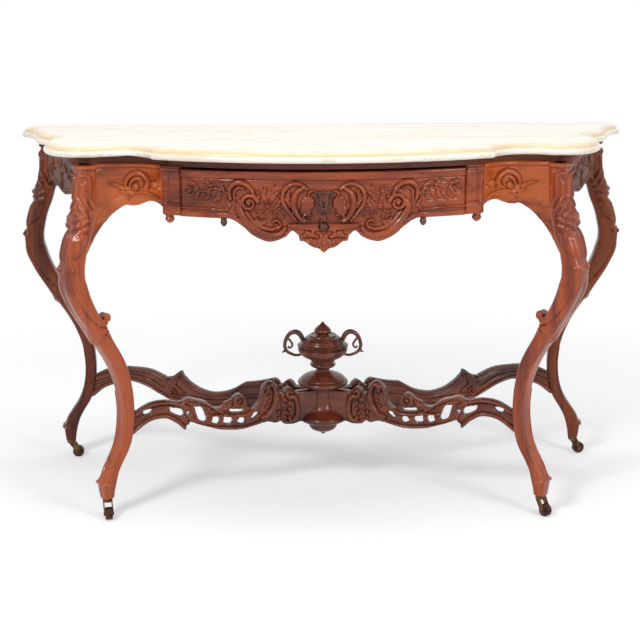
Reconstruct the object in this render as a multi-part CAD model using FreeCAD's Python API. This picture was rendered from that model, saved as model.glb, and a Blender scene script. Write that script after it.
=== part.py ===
import FreeCAD, Part
import math
import os

# Serpentine marble-topped pier table on four carved scroll legs, with a bowed frieze drawer,
# an X stretcher that carries a covered urn, and a swivel caster under each foot.
# Millimetres, +Z up, +X to the sitter's right, front face towards -Y, floor at z = 0.

os.makedirs("parts", exist_ok=True)
V = FreeCAD.Vector

# ---- marble slab ----
tableHeight = 920.0
tableDepth = 653.0
slabThickness = 28.0
slabShelves = [(0.10, 2.0), (0.45, 0.0), (0.10, 4.0), (0.15, 10.0), (0.20, 20.0)]
bowRadius = 900.0
bowHalf = 392.0          # half width of the bowed centre
cuspStep = (7.0, 18.0)
# Front corner of the slab: distance from the middle, distance behind the front of the bow.
valleyBottom = (462.0, 154.5)
valleyEnd = (522.0, 137.5)
lobeFront = (586.0, 135.5)
lobeCorner = (640.0, 180.5)
lobeSide = (664.0, 238.5)
lobeEnd = (668.0, 300.5)
notch = (654.0, 338.5)
# Rear corner: distance from the middle, distance before the straight back edge.
earCorner = (679.0, 274.5)
earFront = (704.0, 243.5)
earHollow = (722.0, 204.5)
earSide = (744.0, 128.5)
earTip = (783.0, 66.5)
earBack = (767.0, 0.0)

# ---- wooden top frame under the slab ----
frameThickness = 18.0
frameInset = 44.0
frameWidth = 84.0        # front rail, at the middle of the bow
backRailWidth = 70.0
frameInnerHalf = 560.0   # half length of the opening behind the serpentine corners
frameFrontDepth = 260.5  # from the front of the bow to the opening
screwRadius = 2.0
screwBite = 10.0

# ---- frieze ----
friezeInset = 40.0
panelThickness = 24.0
friezeHeight = 96.0
beadHeight = 14.0
beadProud = 5.0
pilasterWidth = 45.0
pilasterDepth = 52.0
pilasterInset = 31.0
pilasterHeight = 112.0
pilasterDropOffset = 26.0
pilasterDropRadius = 11.0
drawerDropPlace = 228.5
drawerDropRadius = 8.0
dropLength = 20.0

# ---- drawer ----
drawerGap = 5.0          # shadow line between the drawer front and the rail above it
drawerSideGap = 1.0
drawerFrontInset = 35.0
drawerFrontThickness = 22.0
drawerFrontHeight = 109.0
apronHeight = 184.0      # from the drawer front's top edge to its tip
drawerBoxHalf = 316.0
drawerBoardThickness = 10.0
drawerBoxHeight = 81.0
drawerBottomThickness = 6.0
drawerGroove = 4.0
drawerDepth = 340.0      # from the drawer side's front end to the outside of the back
slidingGap = 0.4
guideGap = 1.0
guideWidth = 13.0
runnerThickness = 17.0
runnerTongue = 16.0
guideRise = 22.0
kickerGap = 3.0
bearerDepth = 62.0
grooveFit = 0.2

# ---- lock, keyhole shield and knob ----
keyholeHeight = 41.0     # above the drawer front's lower edge
keyholeRadius = 3.5
keyholeSlot = (3.2, 11.0)
shieldHalf = 22.0
shieldHeight = 52.0
shieldThickness = 7.0
lockHalf = 30.0
lockDepth = 14.0
lockMortise = 6.0        # how far the lock case is let into the drawer front
lockBelowKey = 16.0
boltHalf = 11.0
boltThickness = 6.0
boltHeight = 16.0
boltThrow = 10.0
boltFit = 0.4
boltHeadroom = 3.0       # from the thrown bolt to the end of its mortise
knobHeight = 60.0        # above the tip of the drawer front
knobRadius = 9.0
knobBase = 11.0
knobLength = 13.0
knobShank = 4.0
knobDish = 3.0

# ---- legs ----
frontFootPlace = (535.0, 161.5)   # from the middle, behind the front of the bow
rearFootPlace = (698.0, 33.5)     # from the middle, before the back edge
frontSplay = 39.3        # angle between the leg's plane and the X axis
rearSplay = 7.0
footBottom = 50.0
footBottomWidth = 26.0
footTopWidth = 37.0
footTop = 92.0
toeWidth = 43.0
toeHeight = 9.0
legTop = 850.0
headReach = 22.0         # outward shift of the post at the top of the leg
postWidth = (38.0, 46.0)
postBottom = 766.0
scrollRadius = 11.0
scrollHeight = 507.0
scrollReach = -18.0
scrollLength = 42.0

# ---- stretcher ----
hubCentre = (0.0, 60.0)
armThickness = 24.0
hubReach = 121.0         # from the hub's axis to the shoulder where an arm meets it
hubWingThickness = 26.0

# ---- casters ----
wheelRadius = 15.5
wheelWidth = 17.0
treadRound = 2.5
axleRadius = 2.5
axleFit = 0.05
axleHead = 3.6
axleHeadThickness = 1.2
casterTrail = 18.0
forkSideGap = 0.5
forkCheek = 2.5
forkCrownRadius = 12.0
forkCrownHeight = 6.0
plateThickness = 3.0
plateRadius = 12.5
pivotRadius = 4.0
pivotHead = 6.0
socketRadius = 5.0
socketDepth = 24.0
swivelGap = 0.3
casterAngles = {"front_left": -75.0, "front_right": -55.0, "rear_left": 5.0, "rear_right": 15.0}

# ---- heights and places worked out from the values above ----
slabMoulding = [(inset, share * slabThickness) for share, inset in slabShelves]
slabUnder = tableHeight - slabThickness
frameUnder = slabUnder - frameThickness
drawerTop = frameUnder - drawerGap
drawerFrontUnder = drawerTop - drawerFrontHeight
boxTop = frameUnder - runnerThickness + kickerGap
boxBottom = boxTop - drawerBoxHeight
runnerTop = boxBottom - slidingGap
runnerUnder = runnerTop - runnerThickness
frontEdge = -tableDepth / 2
backEdge = tableDepth / 2
bowCentre = frontEdge + bowRadius
frameFrontInner = frontEdge + frameFrontDepth
pilasterInner = drawerBoxHalf + guideGap + guideWidth
pilasterOuter = pilasterInner + pilasterWidth
pilasterDropPlace = pilasterInner + pilasterDropOffset
drawerFrontHalf = pilasterInner - drawerSideGap
keyholeZ = drawerFrontUnder + keyholeHeight
knobZ = drawerTop - apronHeight + knobHeight
frontFoot = (frontFootPlace[0], frontEdge + frontFootPlace[1])
rearFoot = (rearFootPlace[0], backEdge - rearFootPlace[1])
frontFaceRadius = bowRadius - drawerFrontInset
frontBackRadius = frontFaceRadius - drawerFrontThickness
sides = {"left": -1, "right": 1}


def box(x0, x1, y0, y1, z0, z1):
    return Part.makeBox(x1 - x0, y1 - y0, z1 - z0, V(x0, y0, z0))


def rod(radius, start, end):
    span = end - start
    return Part.makeCylinder(radius, span.Length, start, span)


def mirrored(shape):
    return shape.mirror(V(0, 0, 0), V(1, 0, 0))


def placed(shape, side):
    return shape if side > 0 else mirrored(shape)


def spline(points):
    curve = Part.BSplineCurve()
    curve.interpolate(points)
    return curve.toShape()


def line(a, b):
    return Part.LineSegment(a, b).toShape()


def arc(a, b, c):
    return Part.Arc(a, b, c).toShape()


def closedFace(stretches):
    """A flat face whose outline runs smoothly along each stretch of points and straight between them."""
    edges = []
    last = stretches[-1][-1]
    for points in stretches:
        if (last - points[0]).Length > 1e-6:
            edges.append(line(last, points[0]))
        edges.append(spline(points) if len(points) > 2 else line(points[0], points[1]))
        last = points[-1]
    return Part.Face(Part.Wire(edges))


def turned(profile, centre, axis=V(0, 0, 1)):
    """A solid of revolution about Z from (radius, height) pairs that start and end on the axis."""
    points = [V(r, 0, z) for r, z in profile]
    face = Part.Face(Part.makePolygon(points + [points[0]]))
    solid = face.revolve(V(0, 0, 0), axis, 360)
    solid.translate(V(centre[0], centre[1], 0))
    return solid


def smoothTurned(curves, centre):
    """As turned, with each stretch of (radius, height) pairs as one smooth curve."""
    face = closedFace([[V(r, 0, z) for r, z in stretch] for stretch in curves])
    solid = face.revolve(V(0, 0, 0), V(0, 0, 1), 360)
    solid.translate(V(centre[0], centre[1], 0))
    return solid


def bowY(x, inset):
    """Where the bow, moved inwards by inset, passes x."""
    return bowCentre - math.sqrt((bowRadius - inset) ** 2 - x * x)


def bowShell(inset, thickness, z0, z1):
    """The part of a standing cylinder wall that follows the bowed centre."""
    outer = Part.makeCylinder(bowRadius - inset, z1 - z0, V(0, bowCentre, z0))
    inner = Part.makeCylinder(bowRadius - inset - thickness, z1 - z0, V(0, bowCentre, z0))
    front = box(-bowRadius, bowRadius, frontEdge, 0, z0, z1)
    return outer.cut(inner).common(front)


# ---- the slab's outline ----
cusp = (bowHalf, bowY(bowHalf, 0) - frontEdge)
step = (cusp[0] + cuspStep[0], cusp[1] + cuspStep[1])


def frontPoint(point, side=1):
    """Plan place of a point measured from the middle and from the front of the bow."""
    return V(side * point[0], frontEdge + point[1], 0)


def rearPoint(point, side=1):
    """Plan place of a point measured from the middle and from the back edge."""
    return V(side * point[0], backEdge - point[1], 0)


def slabWire():
    edges = [arc(frontPoint(cusp, -1), V(0, frontEdge, 0), frontPoint(cusp, 1))]
    for side in (1, -1):
        edges += [
            line(frontPoint(cusp, side), frontPoint(step, side)),
            arc(frontPoint(step, side), frontPoint(valleyBottom, side), frontPoint(valleyEnd, side)),
            arc(frontPoint(valleyEnd, side), frontPoint(lobeFront, side), frontPoint(lobeCorner, side)),
            arc(frontPoint(lobeCorner, side), frontPoint(lobeSide, side), frontPoint(lobeEnd, side)),
            line(frontPoint(lobeEnd, side), frontPoint(notch, side)),
            line(frontPoint(notch, side), rearPoint(earCorner, side)),
            arc(rearPoint(earCorner, side), rearPoint(earFront, side), rearPoint(earHollow, side)),
            arc(rearPoint(earHollow, side), rearPoint(earSide, side), rearPoint(earTip, side)),
            line(rearPoint(earTip, side), rearPoint(earBack, side)),
        ]
    edges.append(line(rearPoint(earBack, 1), rearPoint(earBack, -1)))
    return Part.Wire(Part.__sortEdges__(edges))


def outlinePrism(inset, z0, z1):
    wire = slabWire()
    if inset:
        wire = wire.makeOffset2D(-inset)
    face = Part.Face(wire)
    face.translate(V(0, 0, z0))
    return face.extrude(V(0, 0, z1 - z0))


def marbleTop():
    """The slab, its edge moulded in shelves that step in towards the polished top."""
    low = slabUnder
    slab = None
    for inset, rise in slabMoulding:
        shelf = outlinePrism(inset, low, low + rise)
        slab = slab.fuse(shelf) if slab else shelf
        low += rise
    return slab


# ---- top frame ----
def topFrame():
    """The flat frame under the slab, as front, back and two side rails."""
    ring = outlinePrism(frameInset, frameUnder, slabUnder)
    bay = box(-pilasterInner, pilasterInner, frontEdge + frameInset + frameWidth, 0, frameUnder, slabUnder)
    back = backEdge - frameInset - backRailWidth
    well = box(-frameInnerHalf, frameInnerHalf, frameFrontInner, back, frameUnder, slabUnder)
    ring = ring.cut(bay).cut(well)
    far = bowRadius
    return {
        "front_top_rail": ring.common(box(-far, far, frontEdge, frameFrontInner, frameUnder, slabUnder)),
        "back_top_rail": ring.common(box(-far, far, back, backEdge, frameUnder, slabUnder)),
        "left_top_rail": ring.common(box(-far, 0, frameFrontInner, back, frameUnder, slabUnder)),
        "right_top_rail": ring.common(box(0, far, frameFrontInner, back, frameUnder, slabUnder)),
    }


# ---- legs ----
# Stations up the leg: share of the way from the foot block to the head, outward reach, and the
# section's width in the leg's plane and across it.
legStations = [
    (0.0, -2, 37, 37), (0.033, -13, 33, 38), (0.063, -27, 31, 40), (0.092, -41, 31, 42),
    (0.129, -53, 31, 43), (0.182, -61, 31, 44), (0.235, -63, 31, 44), (0.288, -60, 33, 45),
    (0.363, -46, 39, 48), (0.434, -21, 44, 51), (0.505, 10, 48, 54), (0.578, 44, 50, 56),
    (0.644, 65, 53, 59), (0.712, 70, 56, 61), (0.776, 58, 49, 58), (0.829, 43, 48, 57),
    (0.858, 37, 55, 57), (0.892, 27, 48, 54), (0.925, 22, 43, 50),
    (0.950, 21, 41, 47), (0.975, 21, 40, 46), (1.0, 21, 40, 46),
]
sectionSquareness = 4.0


def footPlace(foot, splay, reach):
    """Plan position at an outward reach in the leg's plane, for the right-hand leg."""
    turn = math.radians(splay)
    return V(foot[0] + reach * math.cos(turn), foot[1] - reach * math.sin(turn), 0)


def legSection(foot, splay, reach, width, depth, height):
    """A squared oval, level with the floor, with its long axes in and across the leg's plane."""
    centre = footPlace(foot, splay, reach)
    turn = math.radians(splay)
    points = []
    for i in range(16):
        angle = math.radians(22.5 * i)
        c, s = math.cos(angle), math.sin(angle)
        along = width / 2 * math.copysign(abs(c) ** (2 / sectionSquareness), c)
        across = depth / 2 * math.copysign(abs(s) ** (2 / sectionSquareness), s)
        x = centre.x + along * math.cos(turn) + across * math.sin(turn)
        y = centre.y - along * math.sin(turn) + across * math.cos(turn)
        points.append(V(x, y, height))
    curve = Part.BSplineCurve()
    curve.interpolate(points, PeriodicFlag=True)
    return Part.Wire(curve.toShape())


def turnedToLeg(shape, foot, splay):
    """Moves a shape drawn about the origin, outward along +X, to the leg's place."""
    shape.rotate(V(0, 0, 0), V(0, 0, 1), -splay)
    shape.translate(V(foot[0], foot[1], 0))
    return shape


def squareFoot(foot, splay):
    def ring(width, z):
        h = width / 2
        corners = [V(-h, -h, z), V(h, -h, z), V(h, h, z), V(-h, h, z), V(-h, -h, z)]
        return Part.makePolygon(corners)

    block = Part.makeLoft([ring(footBottomWidth, footBottom), ring(footTopWidth, footTop)], True, True)
    toe = Part.makeLoft([ring(footTopWidth, footTop - toeHeight), ring(toeWidth, footTop),
                         ring(footTopWidth - 2, footTop + toeHeight)], True, True)
    socket = rod(socketRadius, V(0, 0, footBottom), V(0, 0, footBottom + socketDepth))
    return turnedToLeg(block.fuse(toe).cut(socket), foot, splay)


def leg(foot, splay):
    wires = []
    for share, reach, width, depth in legStations:
        height = footTop + share * (legTop - footTop)
        wires.append(legSection(foot, splay, reach, width, depth, height))
    shaft = Part.makeLoft(wires, True, False)
    half = postWidth[0] / 2
    depth = postWidth[1] / 2
    post = box(headReach - half, headReach + half, -depth, depth, postBottom, frameUnder)
    curl = rod(scrollRadius, V(scrollReach, -scrollLength / 2, scrollHeight),
               V(scrollReach, scrollLength / 2, scrollHeight))
    neck = box(scrollReach, -scrollReach, -scrollLength / 2, scrollLength / 2,
               scrollHeight - scrollRadius, scrollHeight)
    extras = turnedToLeg(post.fuse(curl).fuse(neck), foot, splay)
    return shaft.fuse(extras).fuse(squareFoot(foot, splay))


# ---- frieze panels ----
def valleyArc():
    """Centre and radius of the hollow in the slab's front edge."""
    hollow = arc(frontPoint(step), frontPoint(valleyBottom), frontPoint(valleyEnd)).Curve
    return hollow.Center, hollow.Radius


# Lower edge of the corner panel: share of the way from the pilaster to the leg's head, drop below
# the frieze's top. The sweep runs down the leg as a bracket.
cornerEdge = [(0, 104), (0.045, 97), (0.113, 92), (0.19, 90), (0.25, 92), (0.30, 97), (0.37, 102), (0.45, 103),
              (0.50, 101)]
cornerSweep = [(0.50, 101), (0.554, 104), (0.604, 110), (0.655, 116), (0.717, 126), (0.785, 139), (0.85, 153),
               (0.92, 173), (0.96, 187), (1.0, 204), (1.03, 230)]
cornerTail = [(1.03, 230), (1.09, 226)]
cornerBack = [(1.09, 226), (1.09, 190), (1.07, 160), (1.06, 130)]


def cornerPanel(legSolid, flankSolid):
    centre, radius = valleyArc()
    span = footPlace(frontFoot, frontSplay, headReach).x - pilasterOuter
    height = cornerSweep[-1][1] + beadHeight
    base = frameUnder - height
    wall = Part.makeCylinder(radius + friezeInset + panelThickness, height, V(centre.x, centre.y, base))
    wall = wall.cut(Part.makeCylinder(radius + friezeInset, height, V(centre.x, centre.y, base)))
    runs = [[V(pilasterOuter + share * span, 0, frameUnder - drop) for share, drop in pairs]
            for pairs in (cornerEdge, cornerSweep, cornerTail, cornerBack)]
    right = runs[-1][-1].x
    face = closedFace(runs + [[V(right, 0, frameUnder), V(pilasterOuter, 0, frameUnder)]])
    face.translate(V(0, frontEdge, 0))
    outline = face.extrude(V(0, tableDepth / 2, 0))
    panel = wall.common(outline)
    beadBase = V(centre.x, centre.y, frameUnder - beadHeight)
    bead = Part.makeCylinder(radius + friezeInset + panelThickness, beadHeight, beadBase)
    bead = bead.cut(Part.makeCylinder(radius + friezeInset - beadProud, beadHeight, beadBase))
    bead = bead.common(box(pilasterOuter, right, frontEdge, 0, beadBase.z, frameUnder))
    joined = panel.fuse(bead).cut(legSolid).cut(flankSolid)
    return max(joined.Solids, key=lambda s: s.Volume)


def boardBetween(start, end, thickness, edge, top):
    """An upright board along a plan line, with a lower edge of (share of length, drop) pairs."""
    run = end - start
    length = run.Length
    lower = [V(share * length, -thickness / 2, top - drop) for share, drop in edge]
    face = closedFace([lower, [V(length, -thickness / 2, top), V(0, -thickness / 2, top)]])
    board = face.extrude(V(0, thickness, 0))
    board.rotate(V(0, 0, 0), V(0, 0, 1), math.degrees(math.atan2(run.y, run.x)))
    board.translate(V(start.x, start.y, 0))
    return board


# Lower edge of the side panel: share of its length, drop below the frieze's top.
sideEdge = [(0, 118), (0.12, 98), (0.24, 86), (0.36, 92), (0.47, 100), (0.58, 92), (0.74, 84),
            (0.88, 98), (1, 122)]
backHeight = 113.0       # reaches down behind the drawer runners


def sidePanel(frontLeg, rearLeg):
    start = footPlace(frontFoot, frontSplay, headReach)
    end = footPlace(rearFoot, rearSplay, headReach)
    board = boardBetween(start, end, panelThickness, sideEdge, frameUnder)
    board = board.cut(frontLeg).cut(rearLeg)
    return max(board.Solids, key=lambda s: s.Volume)


def backRail(rearLegs):
    y = footPlace(rearFoot, rearSplay, headReach).y
    reach = footPlace(rearFoot, rearSplay, headReach).x
    half = panelThickness / 2
    rail = box(-reach, reach, y - half, y + half, frameUnder - backHeight, frameUnder)
    for rear in rearLegs:
        rail = rail.cut(rear)
    return max(rail.Solids, key=lambda s: s.Volume)


def pilaster():
    base = frameUnder - pilasterHeight
    wall = bowShell(pilasterInset, pilasterDepth, base, frameUnder)
    return wall.common(box(pilasterInner, pilasterOuter, frontEdge, 0, base, frameUnder))


def turnedDrop(x, y, top, r):
    profile = [(0, top), (r * 0.7, top), (r, top - 0.25 * dropLength), (r * 0.55, top - 0.45 * dropLength),
               (r * 0.9, top - 0.65 * dropLength), (r * 0.5, top - 0.9 * dropLength), (0, top - dropLength)]
    return turned(profile, (x, y))


# ---- drawer ----
# Lower edge of the drawer front on the right: distance from the centre, height below its top edge.
apronRun = [(drawerFrontHalf, drawerFrontHeight), (214, drawerFrontHeight)]
apronLobe = [(214, drawerFrontHeight), (184, 126), (152, 152), (126, 160), (101, 155), (86, 147)]
apronNotch = [(86, 147), (72, 134), (58, 144)]
apronDrop = [(58, 144), (45, 158), (24, 171), (0, apronHeight)]


def apronOutline():
    """Silhouette of the drawer front, seen from the front."""
    runs = (apronRun, apronLobe, apronNotch, apronDrop)
    half = [[V(x, 0, drawerTop - drop) for x, drop in pairs] for pairs in runs]
    other = [[V(-p.x, 0, p.z) for p in reversed(points)] for points in reversed(half)]
    top = [V(-drawerFrontHalf, 0, drawerTop), V(drawerFrontHalf, 0, drawerTop)]
    face = closedFace(half + other + [top])
    face.translate(V(0, frontEdge, 0))
    return face.extrude(V(0, tableDepth / 2, 0))


def lockBox(fit):
    y = bowY(0, drawerFrontInset + drawerFrontThickness) - lockMortise
    low = keyholeZ - lockBelowKey
    return box(-lockHalf - fit, lockHalf + fit, y, y + lockDepth, low - fit, drawerTop)


def boltBox(fit, rise):
    y = bowY(0, drawerFrontInset + drawerFrontThickness) - lockMortise + lockDepth / 2
    low = drawerTop - boltHeight - fit
    top = drawerTop - slidingGap + rise
    half = boltThickness / 2 + fit
    return box(-boltHalf - fit, boltHalf + fit, y - half, y + half, low, top)


def keyholeCut(y0, y1):
    eye = rod(keyholeRadius, V(0, y0, keyholeZ), V(0, y1, keyholeZ))
    half = keyholeSlot[0] / 2
    slot = box(-half, half, y0, y1, keyholeZ - keyholeSlot[1], keyholeZ)
    return eye.fuse(slot)


def bottomPanel(fit):
    """The thin bottom, in grooves all round; it passes under the back and is notched round the lock."""
    x = drawerBoxHalf - drawerBoardThickness + drawerGroove + fit
    low = boxBottom + drawerBoardThickness / 2
    y = sideFront() + drawerDepth
    reach = frontBackRadius + drawerGroove + fit
    slab = box(-x, x, frontEdge, y, low, low + drawerBottomThickness + fit)
    slab = slab.common(Part.makeCylinder(reach, drawerBoxHeight, V(0, bowCentre, boxBottom)))
    return slab.cut(lockBox(grooveFit - fit))


def sideFront():
    """Where the back of the drawer front meets the outside of the drawer side."""
    return bowCentre - math.sqrt(frontBackRadius ** 2 - drawerBoxHalf ** 2)


def drawerFront():
    front = bowShell(drawerFrontInset, drawerFrontThickness, drawerTop - apronHeight, drawerTop)
    front = front.common(apronOutline())
    front = front.cut(lockBox(grooveFit)).cut(bottomPanel(grooveFit))
    faceY = bowY(0, drawerFrontInset)
    front = front.cut(keyholeCut(faceY - shieldThickness, faceY + drawerFrontThickness))
    front = front.cut(rod(knobBase + 2, V(0, faceY - knobDish, knobZ), V(0, faceY + knobDish, knobZ)))
    shank = rod(knobShank, V(0, faceY, knobZ), V(0, faceY + drawerFrontThickness, knobZ))
    return front.cut(shank)


def drawerSide():
    y1 = sideFront() + drawerDepth
    board = box(drawerBoxHalf - drawerBoardThickness, drawerBoxHalf, frontEdge, y1, boxBottom, boxTop)
    reach = Part.makeCylinder(frontBackRadius, drawerBoxHeight, V(0, bowCentre, boxBottom))
    return board.common(reach).cut(bottomPanel(grooveFit))


def drawerBack():
    x = drawerBoxHalf - drawerBoardThickness
    y1 = sideFront() + drawerDepth
    low = boxBottom + drawerBoardThickness / 2 + drawerBottomThickness
    return box(-x, x, y1 - drawerBoardThickness, y1, low, boxTop)


def keyholeShield():
    """A rounded shield that stands on the bowed face round the keyhole."""
    top = keyholeZ + shieldHeight * 0.36
    low = keyholeZ - shieldHeight * 0.5
    h = shieldHalf
    right = [V(h * 0.55, 0, top), V(h, 0, top - 0.17 * shieldHeight), V(h * 0.82, 0, keyholeZ),
             V(h * 0.5, 0, low + 0.15 * shieldHeight), V(0, 0, low)]
    left = [V(-p.x, 0, p.z) for p in reversed(right)]
    face = closedFace([right, left])
    face.translate(V(0, frontEdge, 0))
    block = face.extrude(V(0, tableDepth / 2, 0))
    faceY = bowY(0, drawerFrontInset)
    shield = bowShell(drawerFrontInset - shieldThickness, shieldThickness, low, top).common(block)
    return shield.cut(keyholeCut(faceY - 2 * shieldThickness, faceY + shieldThickness))


def drawerKnob():
    faceY = bowY(0, drawerFrontInset)
    seat = drawerFrontThickness - knobDish
    tip = seat + knobLength
    profile = [(0, 0), (knobShank, 0), (knobShank, seat), (knobBase, seat),
               (knobBase, seat + 0.2 * knobLength), (knobShank + 1, seat + 0.4 * knobLength),
               (knobRadius, tip - 0.3 * knobLength), (knobRadius * 0.6, tip - 0.04 * knobLength), (0, tip)]
    knob = turned(profile, (0, 0))
    knob.rotate(V(0, 0, 0), V(1, 0, 0), 90)
    knob.translate(V(0, faceY + drawerFrontThickness, knobZ))
    return knob


# ---- carcass inside the frieze ----
def runner():
    front = bowY(pilasterInner, pilasterInset + pilasterDepth) - pilasterDepth / 2
    back = footPlace(rearFoot, rearSplay, headReach).y - panelThickness / 2
    inner = drawerBoxHalf + guideGap
    return box(inner - runnerTongue, pilasterInner, front, back, runnerUnder, runnerTop)


def guides():
    front = bowY(pilasterInner, pilasterInset + pilasterDepth) - pilasterDepth / 2
    back = footPlace(rearFoot, rearSplay, headReach).y - panelThickness / 2
    inner = drawerBoxHalf + guideGap
    right = box(inner, inner + guideWidth, front, back, runnerTop, runnerTop + guideRise)
    return Part.makeCompound([right, mirrored(right)])


def kicker():
    front = bowY(pilasterInner, pilasterInset + pilasterDepth) - pilasterDepth / 2
    back = footPlace(rearFoot, rearSplay, headReach).y - panelThickness / 2
    return box(drawerBoxHalf - runnerTongue, pilasterInner, front, back, boxTop + kickerGap, frameUnder)


def bearerRail():
    front = bowY(pilasterInner, pilasterInset + pilasterDepth) - pilasterDepth / 2
    inner = drawerBoxHalf + guideGap - runnerTongue
    return box(-inner, inner, front, front + bearerDepth, runnerUnder, runnerTop)


blockSize = 30.0
blockHeight = 42.0
blockPlaces = [180.0, 520.0]


def glueBlocks(screws):
    back = footPlace(rearFoot, rearSplay, headReach).y - panelThickness / 2
    blocks = []
    half = blockSize / 2
    for x in blockPlaces:
        for c in (x, -x):
            block = box(c - half, c + half, back - blockSize, back, frameUnder - blockHeight, frameUnder)
            blocks.append(block.cut(screws))
    return Part.makeCompound(blocks)


def frameScrews():
    back = footPlace(rearFoot, rearSplay, headReach).y - panelThickness / 2
    screws = []
    low = frameUnder - blockHeight
    for x in blockPlaces:
        for side in (1, -1):
            profile = [(0, low), (2.2 * screwRadius, low), (screwRadius, low + 1.4 * screwRadius),
                       (screwRadius, frameUnder + screwBite - screwRadius), (0, frameUnder + screwBite)]
            screws.append(turned(profile, (side * x, back - blockSize / 2)))
    return Part.makeCompound(screws)


# ---- stretcher ----
# Profiles of the arms: share of the way from the leg to the hub, height above the floor.
frontArmTop = [(0.0, 246), (0.05, 259), (0.116, 275), (0.19, 278), (0.264, 269), (0.335, 272), (0.385, 263),
               (0.437, 240)]
frontArmDip = [(0.437, 240), (0.49, 232), (0.525, 250), (0.555, 262), (0.59, 252), (0.61, 231), (0.65, 226),
               (0.68, 240), (0.70, 268)]
frontArmCrest = [(0.70, 268), (0.712, 288), (0.732, 297), (0.752, 288), (0.762, 272)]
frontArmEnd = [(0.77, 262), (0.77, 188)]
frontArmUnder = [(0.77, 188), (0.70, 190), (0.64, 184), (0.56, 179), (0.47, 185), (0.36, 205), (0.30, 216)]
frontArmSpur = [(0.30, 216), (0.278, 197), (0.25, 210), (0.19, 229), (0.11, 228), (0.05, 208), (0.0, 186)]
rearArmTop = [(0.0, 222), (0.03, 240), (0.09, 259), (0.19, 269), (0.27, 266), (0.345, 249)]
rearArmLeaf = [(0.345, 249), (0.385, 255), (0.404, 268)]
rearArmDip = [(0.404, 268), (0.435, 246), (0.485, 227), (0.55, 221), (0.63, 234), (0.70, 262)]
rearArmFlat = [(0.70, 262), (0.83, 268)]
rearArmUnder = [(0.83, 188), (0.72, 186), (0.62, 176), (0.53, 174), (0.44, 180), (0.36, 186)]
rearArmArch = [(0.36, 186), (0.30, 203), (0.19, 228), (0.12, 217), (0.06, 200), (0.0, 170)]
# Openings pierced through a front arm: share along, height, half length, half height.
frontArmHoles = [(0.105, 254, 9, 4.5), (0.24, 246, 15, 7), (0.365, 232, 9, 14), (0.44, 212, 9, 8),
                 (0.503, 208, 10, 6), (0.57, 202, 9, 5.5), (0.64, 210, 8, 5), (0.55, 232, 13, 3.5)]
armRoot = -61.0          # reach of the leg's centre where the stretcher joins it


def armLine(foot, splay):
    start = footPlace(foot, splay, armRoot)
    run = V(hubCentre[0] - start.x, hubCentre[1] - start.y, 0)
    return start, run


def arm(foot, splay, stretches, holes, legSolid):
    """A sawn board that stands on edge between the leg and the hub."""
    start, run = armLine(foot, splay)
    length = run.Length
    end = length - hubReach
    runs = [[V(min(share * length, end), -armThickness / 2, z) for share, z in pairs] for pairs in stretches]
    board = closedFace(runs).extrude(V(0, armThickness, 0))
    for share, height, halfLength, halfHeight in holes:
        slot = Part.makeCylinder(halfHeight, 2 * armThickness, V(0, -armThickness, 0), V(0, 1, 0))
        stretch = FreeCAD.Matrix()
        stretch.scale(halfLength / halfHeight, 1, 1)
        slot = slot.transformGeometry(stretch)
        slot.translate(V(share * length, 0, height))
        board = board.cut(slot)
    board.rotate(V(0, 0, 0), V(0, 0, 1), math.degrees(math.atan2(run.y, run.x)))
    board.translate(start)
    board = board.cut(legSolid)
    return max(board.Solids, key=lambda s: s.Volume)


# Profile of a hub wing: distance from the hub's axis, height.
wingTop = [(0, 262), (78, 262)]
wingScroll = [(78, 262), (85, 270), (95, 276), (105, 270), (110, 260)]
wingShoulder = [(110, 260), (hubReach, 262)]
wingUnder = [(hubReach, 190), (108, 180), (84, 178), (70, 182)]
wingFlat = [(70, 182), (0, 182)]


def hubWing(angle):
    outline = (wingTop, wingScroll, wingShoulder, wingUnder, wingFlat)
    runs = [[V(r, -hubWingThickness / 2, z) for r, z in pairs] for pairs in outline]
    wing = closedFace(runs).extrude(V(0, hubWingThickness, 0))
    wing.rotate(V(0, 0, 0), V(0, 0, 1), angle)
    wing.translate(V(hubCentre[0], hubCentre[1], 0))
    return wing


hubColumn = [[(0, 271), (32, 271)], [(32, 271), (26, 250), (24, 235), (31, 212), (52, 196), (62, 187)],
             [(62, 187), (58, 178), (42, 171)], [(42, 171), (0, 171)]]
hubDrop = [[(0, 171), (36, 171)], [(36, 171), (37, 164), (31, 154), (15, 147), (8, 144)],
           [(8, 144), (4, 140), (0, 138)]]
urnFoot = [[(0, 271), (56, 271)], [(56, 271), (64, 277), (64, 284)],
           [(64, 284), (59, 291), (44, 301), (22, 308)], [(22, 308), (17, 313), (18, 318)],
           [(18, 318), (0, 318)]]
urnBody = [[(0, 318), (18, 318)], [(18, 318), (30, 321), (32, 327)], [(32, 327), (30, 334), (34, 340)],
           [(34, 340), (48, 345), (60, 356), (64, 368), (61, 378)], [(61, 378), (0, 378)]]
urnLid = [[(0, 378), (60, 378)], [(60, 378), (57, 386), (46, 396), (36, 401)],
          [(36, 401), (34, 405), (26, 404)], [(26, 404), (17, 404), (16, 408)],
          [(16, 408), (22, 413), (20, 421), (9, 430), (4, 435)], [(4, 435), (0, 438)]]
handleBow = [(55, 393), (62, 408), (74, 412), (88, 402), (97, 382), (100, 364)]
handleReturn = [(100, 364), (88, 352), (72, 347), (54, 352)]
handleRadius = 4.0


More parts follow.
